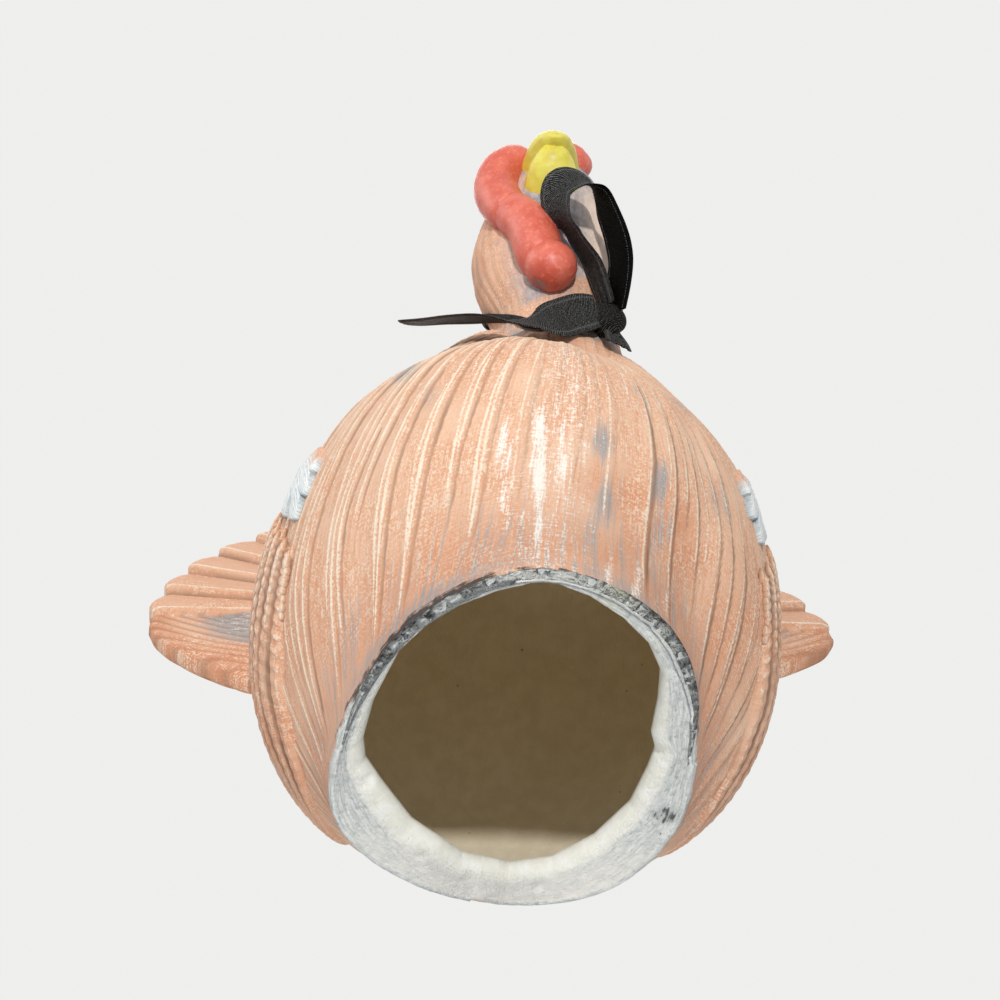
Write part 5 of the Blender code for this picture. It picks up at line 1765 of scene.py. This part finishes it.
def strip_shape(stations, dull_and_shade_from):
    """Ribbon strip as a thin closed band with raised selvedges and a slight ripple.

    From the given share of its length it shows the ribbon's matt side, with the weave's painted sheen left
    off on both faces as painted shade.
    """
    centre, _, edge, face, half, bend, length = strip_line(stations)
    cross = np.linspace(-1.0, 1.0, STRIP_COLUMNS)
    reach = held_reach(half[:, None] * cross[None, :], bend[:, None])
    flat = centre[:, None] + edge[:, None] * reach[..., None]
    inset = RIBBON_WIDTH / 2.0 * (1.0 - np.abs(cross))
    welt = np.exp(-((inset - SELVEDGE_INSET) / SELVEDGE_HALF_WIDTH) ** 2)
    narrowed = (1.0 - held(half / (RIBBON_WIDTH / 2.0)))[:, None]
    gather = GATHER_HEIGHT * narrowed * np.cos(cross * 11.0)[None, :]
    ripple = RIPPLE_HEIGHT * np.sin(length / RIPPLE_LENGTH)[:, None] * np.cos(cross * 2.3)[None, :] + gather
    edge_round = np.sqrt(np.clip(1.02 - np.abs(cross) ** 12, 0.05, 1.0))
    thick = RIBBON_THICKNESS / 2.0 * (0.62 + 0.22 * welt) * edge_round
    above = flat + face[:, None] * (ripple + thick[None, :])[..., None]
    under = flat + face[:, None] * (ripple - thick[None, :])[..., None]
    points, quads = closed_panel(above, under)
    flow = flow_grid(cross[None, :] * RIBBON_WIDTH / 2.0, length[:, None])
    # Painted shade: past this share the weave's painted sheen is left off on both faces
    dull_and_shade = ramp(length / length[-1], dull_and_shade_from, dull_and_shade_from + 0.1)[:, None]
    return {
        "points": points,
        "quads": quads,
        "marks": {"selvedge": twice(0.0 * dull_and_shade + welt[None, :]), "dull_and_shade": twice(dull_and_shade + 0.0 * cross)},
        "flow": np.concatenate((flow, flow)),
    }


BAND_COLUMNS = 200
BAND_ROWS = 16
BAND_CLEARANCE = 0.0003
BAND_FOLD_HEIGHT = 0.00008
# How dull the ribbon is where it is pulled together
PULLED_DULL = 0.6


def pulled_marks(count):
    return {"selvedge": np.zeros(count), "dull_and_shade": np.full(count, PULLED_DULL)}


def band_shape():
    """Narrow turn of ribbon round the neck, rounded on its outside."""
    turn, way = np.meshgrid(
        np.arange(BAND_COLUMNS) * 360.0 / BAND_COLUMNS,
        np.arange(BAND_ROWS) * 2.0 * np.pi / BAND_ROWS,
        indexing="ij",
    )
    length = sum(math.dist(a[:2], b[:2]) for a, b in zip(NECK_STATIONS, NECK_STATIONS[1:]))
    climb = band_climb(turn) + 0.5 * BAND_WIDTH / length * np.cos(way)
    stand_off = BAND_CLEARANCE + BAND_THICKNESS * (0.5 + 0.5 * np.sin(way))
    folds = BAND_FOLD_HEIGHT * np.sin(way * 5.0 + turn * 0.08)
    count = BAND_COLUMNS * BAND_ROWS
    return {
        "points": neck_place(climb, turn, stand_off + folds).reshape(-1, 3),
        "quads": grid_quads(BAND_COLUMNS + 1, BAND_ROWS, True) % count,
        "marks": pulled_marks(count),
        "flow": flow_grid(way / 6.0 * BAND_WIDTH, turn / 360.0 * NECK_GIRTH),
    }


KNOT_UNEVEN = 0.0001
KNOT_FOLD_HEIGHT = 0.00028
# The wrapped folds lie across this direction, in waves to the metre
KNOT_FOLD_WAY = (620.0, -250.0, 900.0)


def knot_shape():
    """Pulled knot: a rounded lump with wrapped folds."""
    shape = ball_shape(knot_centre(), KNOT_RADII, KNOT_UNEVEN)
    away = shape["points"] - knot_centre()
    folds = KNOT_FOLD_HEIGHT * np.sin(away @ np.array(KNOT_FOLD_WAY))
    shape["points"] = shape["points"] + directions(away) * folds[:, None]
    shape["marks"] = pulled_marks(len(away))
    along = away @ directions(np.array((0.3, 0.2, -0.9)))
    shape["flow"] = np.stack((away @ np.array((0.6, 0.3, 0.2)), along), -1)
    return shape


STITCH_SIDES = 6
# A stitch's rings: place along it and share of its width
STITCH_RINGS = ((-0.5, 0.15), (-0.25, 0.8), (0.0, 1.0), (0.25, 0.8), (0.5, 0.15))


def stitch_template():
    """One short selvedge stitch: a small spindle along X, made of a few faces."""
    points = []
    for along, size in STITCH_RINGS:
        for side in range(STITCH_SIDES):
            turn = 2.0 * math.pi * side / STITCH_SIDES
            points.append((along, 0.5 * size * math.cos(turn), 0.5 * size * math.sin(turn)))
    faces = grid_quads(len(STITCH_RINGS), STITCH_SIDES, True)[:, ::-1].tolist()
    faces += [list(range(STITCH_SIDES)), list(range(len(points) - 1, len(points) - 1 - STITCH_SIDES, -1))]
    mesh = bpy.data.meshes.new("stitch_template")
    mesh.from_pydata(points, [], faces)
    mesh.shade_smooth()
    return in_scene("stitch_template", mesh)


TEARDROP_ROWS = 7
TEARDROP_COLUMNS = 6


def teardrop_template():
    """One small breast-shaped feather: round and high at its tip, thin where it is covered."""
    shares, sides = np.linspace(0.0, 1.0, TEARDROP_ROWS), np.linspace(-1.0, 1.0, TEARDROP_COLUMNS)
    along, cross = np.meshgrid(shares, sides, indexing="ij")
    width = 0.5 * np.sin(np.pi * np.clip(along, 0.02, 0.98) ** 1.5) ** 0.75
    height = 0.34 * arch(cross) * np.sin(np.pi * held(along) ** 1.6) ** 0.5
    top = np.stack((along - 0.5, width * cross, height), -1)
    bottom = np.stack((along - 0.5, width * cross, np.full(along.shape, -0.25)), -1)
    points, quads = closed_panel(top, bottom)
    if signed_volume(points, quads, NO_TRIANGLES) < 0.0:
        quads = quads[:, ::-1]
    mesh = bpy.data.meshes.new("teardrop_template")
    mesh.from_pydata(points.tolist(), [], quads.tolist())
    add_mark(mesh, "crest", twice(0.9 * smooth(height / 0.26)))
    # Painted shade where the feather is low and covered
    add_mark(mesh, "dark_lines_and_shade", twice(0.8 * (1.0 - smooth(height / 0.12))))
    mesh.shade_smooth()
    return in_scene("teardrop_template", mesh)


PLACING_INPUTS = (
    ("Template", "NodeSocketObject"), ("Length", "NodeSocketFloat"), ("Width", "NodeSocketFloat"),
    ("Height", "NodeSocketFloat"), ("Unevenness", "NodeSocketFloat"), ("Seed", "NodeSocketInt"),
    ("Finish", "NodeSocketMaterial"),
)
# A random value's sockets for numbers: its least value and its result
CHANCE_LEAST = 2
CHANCE_RESULT = 1


def placing_tree():
    """Geometry nodes that set one small template on every point, along its heading and facing."""
    tree = bpy.data.node_groups.new("place_along_rows", "GeometryNodeTree")
    tree.interface.new_socket("Geometry", in_out="INPUT", socket_type="NodeSocketGeometry")
    for name, kind in PLACING_INPUTS:
        tree.interface.new_socket(name, in_out="INPUT", socket_type=kind)
    tree.interface.new_socket("Geometry", in_out="OUTPUT", socket_type="NodeSocketGeometry")
    given = add_node(tree, "NodeGroupInput")
    result = add_node(tree, "NodeGroupOutput")
    rows = add_node(tree, "GeometryNodeMeshToPoints")
    template = add_node(tree, "GeometryNodeObjectInfo", transform_space="ORIGINAL")
    turn = add_node(tree, "FunctionNodeAxesToRotation", primary_axis="Z", secondary_axis="X")
    size = add_node(tree, "ShaderNodeCombineXYZ")
    chance = add_node(tree, "FunctionNodeRandomValue", data_type="FLOAT")
    least = add_node(tree, "ShaderNodeMath", operation="SUBTRACT")
    least.inputs[0].default_value = 1.0
    grow = add_node(tree, "ShaderNodeVectorMath", operation="SCALE")
    both = add_node(tree, "ShaderNodeMath", operation="MULTIPLY")
    place = add_node(tree, "GeometryNodeInstanceOnPoints")
    real = add_node(tree, "GeometryNodeRealizeInstances")
    paint = add_node(tree, "GeometryNodeSetMaterial")
    for attribute, kind, reader, socket in (
        ("facing", "FLOAT_VECTOR", turn, "Primary Axis"),
        ("heading", "FLOAT_VECTOR", turn, "Secondary Axis"),
        ("own_size", "FLOAT", both, 1),
    ):
        reading = add_node(tree, "GeometryNodeInputNamedAttribute", data_type=kind)
        reading.inputs["Name"].default_value = attribute
        tree.links.new(reading.outputs["Attribute"], reader.inputs[socket])
    for source, output, reader, socket in (
        (given, "Geometry", rows, "Mesh"),
        (given, "Template", template, "Object"),
        (given, "Length", size, "X"),
        (given, "Width", size, "Y"),
        (given, "Height", size, "Z"),
        (given, "Unevenness", least, 1),
        (least, "Value", chance, CHANCE_LEAST),
        (given, "Seed", chance, "Seed"),
        (chance, CHANCE_RESULT, both, 0),
        (size, "Vector", grow, 0),
        (both, "Value", grow, "Scale"),
        (rows, "Points", place, "Points"),
        (template, "Geometry", place, "Instance"),
        (turn, "Rotation", place, "Rotation"),
        (grow, "Vector", place, "Scale"),
        (place, "Instances", real, "Geometry"),
        (real, "Geometry", paint, "Geometry"),
        (given, "Finish", paint, "Material"),
        (paint, "Geometry", result, "Geometry"),
    ):
        tree.links.new(source.outputs[output], reader.inputs[socket])
    return tree


def place_in_rows(name, tree, places, settings, material):
    """Run the placing nodes on points with headings and facings; keep the result as a plain mesh."""
    points, heading, facing, own_size = places
    mesh = bpy.data.meshes.new(name + "_rows")
    mesh.from_pydata((points + BODY_PLACE).tolist(), [], [])
    for attribute, vectors in (("heading", heading), ("facing", facing)):
        layer = mesh.attributes.new(attribute, "FLOAT_VECTOR", "POINT")
        layer.data.foreach_set("vector", vectors.astype(np.float32).ravel())
    add_mark(mesh, "own_size", own_size)
    rows = in_scene(name + "_rows", mesh)
    modifier = rows.modifiers.new("place", "NODES")
    modifier.node_group = tree
    sockets = {item.name: item.identifier for item in tree.interface.items_tree if item.in_out == "INPUT"}
    for key, value in {**settings, "Finish": material}.items():
        modifier[sockets[key]] = value
    graph = bpy.context.evaluated_depsgraph_get()
    made = bpy.data.meshes.new_from_object(rows.evaluated_get(graph))
    made.name = name
    bpy.data.objects.remove(rows, do_unlink=True)
    piece = in_scene(name, made)
    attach(piece, "root")


STITCH_SPACING = 0.00052
STITCH_SIZES = {"Length": 0.0005, "Width": 0.00016, "Height": 0.00012, "Unevenness": 0.25, "Seed": 3}
# Where the stitches start, clear of the knot, and how far they stop before the strip's end
STITCHES_FROM = 0.0025
STITCHES_STOP = 0.0003
# How far out of a face the stitches lie, as a share of half the ribbon's thickness
STITCH_LIFT = 0.86
STITCH_SLANT = 0.25


def selvedge_places(stations):
    """Places for the stitches along both selvedges and on both faces of a strip."""
    centre, ahead, edge, face, half, bend, length = strip_line(stations)
    stitches = np.arange(STITCHES_FROM, length[-1] - STITCHES_STOP, STITCH_SPACING)

    def at(values):
        return np.stack([np.interp(stitches, length, values[:, axis]) for axis in range(3)], -1)

    middle, way, side, out = at(centre), at(ahead), at(edge), at(face)
    reach = np.interp(stitches, length, half) - SELVEDGE_INSET
    bend_there = np.interp(stitches, length, bend)
    points, heading, facing = [], [], []
    for edge_side in (-1.0, 1.0):
        for face_side in (-1.0, 1.0):
            lift = face_side * RIBBON_THICKNESS / 2.0 * STITCH_LIFT
            points.append(middle + side * held_reach(edge_side * reach, bend_there)[:, None] + out * lift)
            heading.append(way + side * STITCH_SLANT * edge_side)
            facing.append(out * face_side)
    points, heading, facing = (np.concatenate(part) for part in (points, heading, facing))
    return points, heading, facing, np.ones(len(points))


CHAIN_COUNT = 10
BRAID_SIZES = {"Length": 0.0038, "Width": 0.003, "Height": 0.0019, "Unevenness": 0.2, "Seed": 11}
# Where the chains of small feathers start and end, as shares of the wing, from its lower rope up
CHAIN_START = 0.02
CHAIN_ENDS = (0.26, 0.28, 0.3, 0.33, 0.35, 0.36, 0.37, 0.37, 0.34)
CHAIN_LIFT = 0.00012


def braid_places(side):
    """Places for the small feathers of the wing's chains, each over the one behind it."""
    points, out, along, across, lift = wing_panel(side)
    surface = points + out * (lift + CHAIN_LIFT)[..., None]
    rope = rope_place(points, along, across)
    places, headings, facings, sizes = [], [], [], []
    for number, end in enumerate(CHAIN_ENDS):
        share = CHAIN_START + end * (np.arange(CHAIN_COUNT) + 0.5 * (number % 2)) / CHAIN_COUNT
        column = np.clip((share * (WING_COLUMNS - 1)).astype(int), 1, WING_COLUMNS - 2)
        row = np.abs(rope[:, column] - (number + 0.5)).argmin(axis=0)
        places.append(surface[row, column])
        headings.append(directions(surface[row, column + 1] - surface[row, column - 1]))
        facings.append(out[row, column])
        sizes.append(mix(1.0, 0.55, share / 0.5) * np.where((row < 4) | (row > WING_ROWS - 5), 0.5, 1.0))
    return tuple(np.concatenate(part) for part in (places, headings, facings, sizes))


def make_wing_braids(tree, finish):
    template = teardrop_template()
    settings = {"Template": template, **BRAID_SIZES}
    for name, side in (("left_wing_braid", 1), ("right_wing_braid", -1)):
        place_in_rows(name, tree, braid_places(side), settings, finish)
    bpy.data.objects.remove(template, do_unlink=True)


def make_ribbon(tree):
    finish = make_ribbon_finish()
    for name, shape, node in (
        # The loop's second half, its right strand, is painted in shade, without the weave's sheen
        ("ribbon_bow_loop", strip_shape(LOOP_STATIONS, 0.5), "ribbon_loop"),
        ("ribbon_long_end", strip_shape(LONG_TAIL_STATIONS, 1.0), "ribbon_long_tail"),
        ("ribbon_short_end", strip_shape(SHORT_TAIL_STATIONS, 1.0), "ribbon_short_tail"),
        ("ribbon_neck_turn", band_shape(), "ribbon_neck_band"),
        ("ribbon_tied_knot", knot_shape(), "ribbon_knot"),
    ):
        make_piece(name, shape, finish, node)
    thread = make_thread_finish()
    template = stitch_template()
    settings = {"Template": template, **STITCH_SIZES}
    for name, stations in (("ribbon_bow_loop", LOOP_STATIONS), ("ribbon_long_end", LONG_TAIL_STATIONS)):
        place_in_rows(name + "_stitches", tree, selvedge_places(stations), settings, thread)
    bpy.data.objects.remove(template, do_unlink=True)


# Camera, floor and light

def placed(right, up, back, place):
    """Matrix that turns a camera or lamp so that it looks along -back, standing at place."""
    columns = np.stack((right, up, back, place), -1)
    return Matrix(np.vstack((columns, (0.0, 0.0, 0.0, 1.0))).tolist())


CAMERA_PLACE = np.array((-0.0247, -0.2153, -0.2323))
CAMERA_TARGET = np.array((-0.0062, -0.0379, 0.0264))
CAMERA_ROLL = -1.89
CAMERA_LENS = 63.0


def make_camera():
    """The photograph looks up at the foot and breast, with the head at the top."""
    place = CAMERA_PLACE + BODY_PLACE
    back = directions(CAMERA_PLACE - CAMERA_TARGET)
    right = directions(np.cross((0.0, 0.0, 1.0), back))
    up = np.cross(back, right)
    roll = math.radians(CAMERA_ROLL)
    turned_right = math.cos(roll) * right + math.sin(roll) * up
    turned_up = math.cos(roll) * up - math.sin(roll) * right
    data = bpy.data.cameras.new("photo_camera")
    data.lens = CAMERA_LENS
    data.clip_start = 0.01
    data.clip_end = 20.0
    camera = in_scene("photo_camera", data)
    camera.matrix_world = placed(turned_right, turned_up, back, place)
    bpy.context.scene.camera = camera


FLOOR_RADIUS = 1.6
FLOOR_SIDES = 96
# The floor lies this far under the foot, and fades into the backdrop between the two distances
FLOOR_DROP = 0.0002
FLOOR_CLEAR_FROM = 0.3
FLOOR_CLEAR_TO = 1.15
SKY_LIGHT = (0.92, 0.95, 1.0, 1.0)
SKY_STRENGTH = 0.34


def seen_rays(tree):
    """1 for what the camera sees, also where a glaze reflects it or a clear material passes it on."""
    rays = add_node(tree, "ShaderNodeLightPath")
    seen = rays.outputs["Is Camera Ray"]
    for name in ("Is Glossy Ray", "Is Transmission Ray"):
        larger = add_node(tree, "ShaderNodeMath", operation="MAXIMUM")
        tree.links.new(seen, larger.inputs[0])
        tree.links.new(rays.outputs[name], larger.inputs[1])
        seen = larger.outputs["Value"]
    return seen


def make_floor():
    """Pale floor under the foot, which fades into the backdrop; from below it lets view and light by."""
    turn = np.arange(FLOOR_SIDES) * 2.0 * np.pi / FLOOR_SIDES
    level = np.full(FLOOR_SIDES, -FLOOR_DROP)
    ring = np.stack((FLOOR_RADIUS * np.cos(turn), FLOOR_RADIUS * np.sin(turn), level), -1)
    mesh = bpy.data.meshes.new("floor")
    mesh.from_pydata(ring.tolist(), [], [list(range(FLOOR_SIDES))])
    finish = Finish("pale_floor", 0.8, 0.3)
    finish.tone = PALE_GROUND
    finish.done()
    away = finish.node("ShaderNodeVectorMath", {0: finish.place()}, operation="LENGTH").outputs["Value"]
    solid = finish.between(away, FLOOR_CLEAR_FROM, FLOOR_CLEAR_TO, 1.0, 0.0)
    underside = finish.node("ShaderNodeNewGeometry").outputs["Backfacing"]
    shown = finish.times(seen_rays(finish.tree), finish.reckon("SUBTRACT", 1.0, underside))
    clear = finish.node("ShaderNodeBsdfTransparent").outputs["BSDF"]
    parts = {0: finish.times(shown, solid), 1: clear, 2: finish.shader.outputs["BSDF"]}
    blend = finish.node("ShaderNodeMixShader", parts).outputs["Shader"]
    finish.feed(finish.tree.nodes["Material Output"].inputs["Surface"], blend)
    mesh.materials.append(finish.material)
    in_scene("floor", mesh)


def make_world():
    world = bpy.data.worlds.new("soft_studio")
    world.use_nodes = True
    bpy.context.scene.world = world
    tree = world.node_tree
    light = tree.nodes["Background"]
    light.inputs["Color"].default_value = SKY_LIGHT
    light.inputs["Strength"].default_value = SKY_STRENGTH
    shown = add_node(tree, "ShaderNodeBackground")
    shown.inputs["Color"].default_value = (*PALE_GROUND, 1.0)
    blend = add_node(tree, "ShaderNodeMixShader")
    tree.links.new(seen_rays(tree), blend.inputs["Fac"])
    tree.links.new(light.outputs["Background"], blend.inputs[1])
    tree.links.new(shown.outputs["Background"], blend.inputs[2])
    tree.links.new(blend.outputs["Shader"], tree.nodes["World Output"].inputs["Surface"])


# Lamps: name, direction to the lamp, distance, size, watts, colour
LAMPS = (
    ("key_lamp", (0.0, -0.925, -0.385), 0.9, 0.05, 5.3, (1.0, 0.985, 0.96)),
    ("breast_lamp", (-0.55, -0.8, 0.3), 0.95, 0.22, 1.3, (1.0, 0.99, 0.97)),
    ("fill_lamp_below", (-0.1, 0.35, -0.93), 1.0, 0.6, 4.3, (0.98, 0.99, 1.0)),
    ("fill_lamp_front", (-0.6, -0.75, -0.3), 1.0, 0.6, 1.2, (0.98, 0.99, 1.0)),
    ("fill_lamp_left", (-0.9, -0.25, 0.55), 1.2, 0.7, 3.0, (0.97, 0.98, 1.0)),
    ("fill_lamp_right", (0.9, -0.3, 0.5), 1.2, 0.7, 1.5, (1.0, 0.98, 0.96)),
    ("fill_lamp_above", (0.0, 0.25, 1.0), 1.3, 1.0, 7.0, (1.0, 1.0, 1.0)),
    ("fill_lamp_behind", (0.15, 1.0, 0.75), 1.3, 0.8, 5.0, (0.98, 0.99, 1.0)),
)


# The lamps' distances are from this point
LAMPS_LOOK_AT = np.array((0.0, 0.0, 0.06))


def make_lamps():
    for name, direction, distance, size, watts, colour in LAMPS:
        data = bpy.data.lights.new(name, "AREA")
        data.shape = "DISK"
        data.size = size
        data.energy = watts
        data.color = colour
        back = directions(np.array(direction, float))
        right = directions(np.cross((0.0, 0.1, 1.0), back))
        up = np.cross(back, right)
        in_scene(name, data).matrix_world = placed(right, up, back, LAMPS_LOOK_AT + back * distance)


def main():
    bpy.context.scene.view_settings.view_transform = "Standard"
    make_camera()
    make_floor()
    make_world()
    make_lamps()
    make_body(make_body_finish())
    wing_finish = make_feather_finish("wing_stain")
    make_wing("left_wing_feathers", "wing_left", 1, wing_finish)
    make_wing("right_wing_feathers", "wing_right", -1, wing_finish)
    white = make_white_finish()
    make_coverts("left_shoulder_feathers", "shoulder_coverts_left", 1, white)
    make_coverts("right_shoulder_feathers", "shoulder_coverts_right", -1, white)
    make_tail(make_feather_finish("tail_stain"))
    make_neck(make_neck_finish())
    beak = make_beak_finish()
    make_beak_half("beak_top_half", "beak_upper", UPPER_BEAK_STATIONS, -1.0, beak)
    make_beak_half("beak_bottom_half", "beak_lower", LOWER_BEAK_STATIONS, 1.0, beak)
    make_red_skin(make_red_finish())
    tree = placing_tree()
    make_wing_braids(tree, wing_finish)
    make_ribbon(tree)


main()
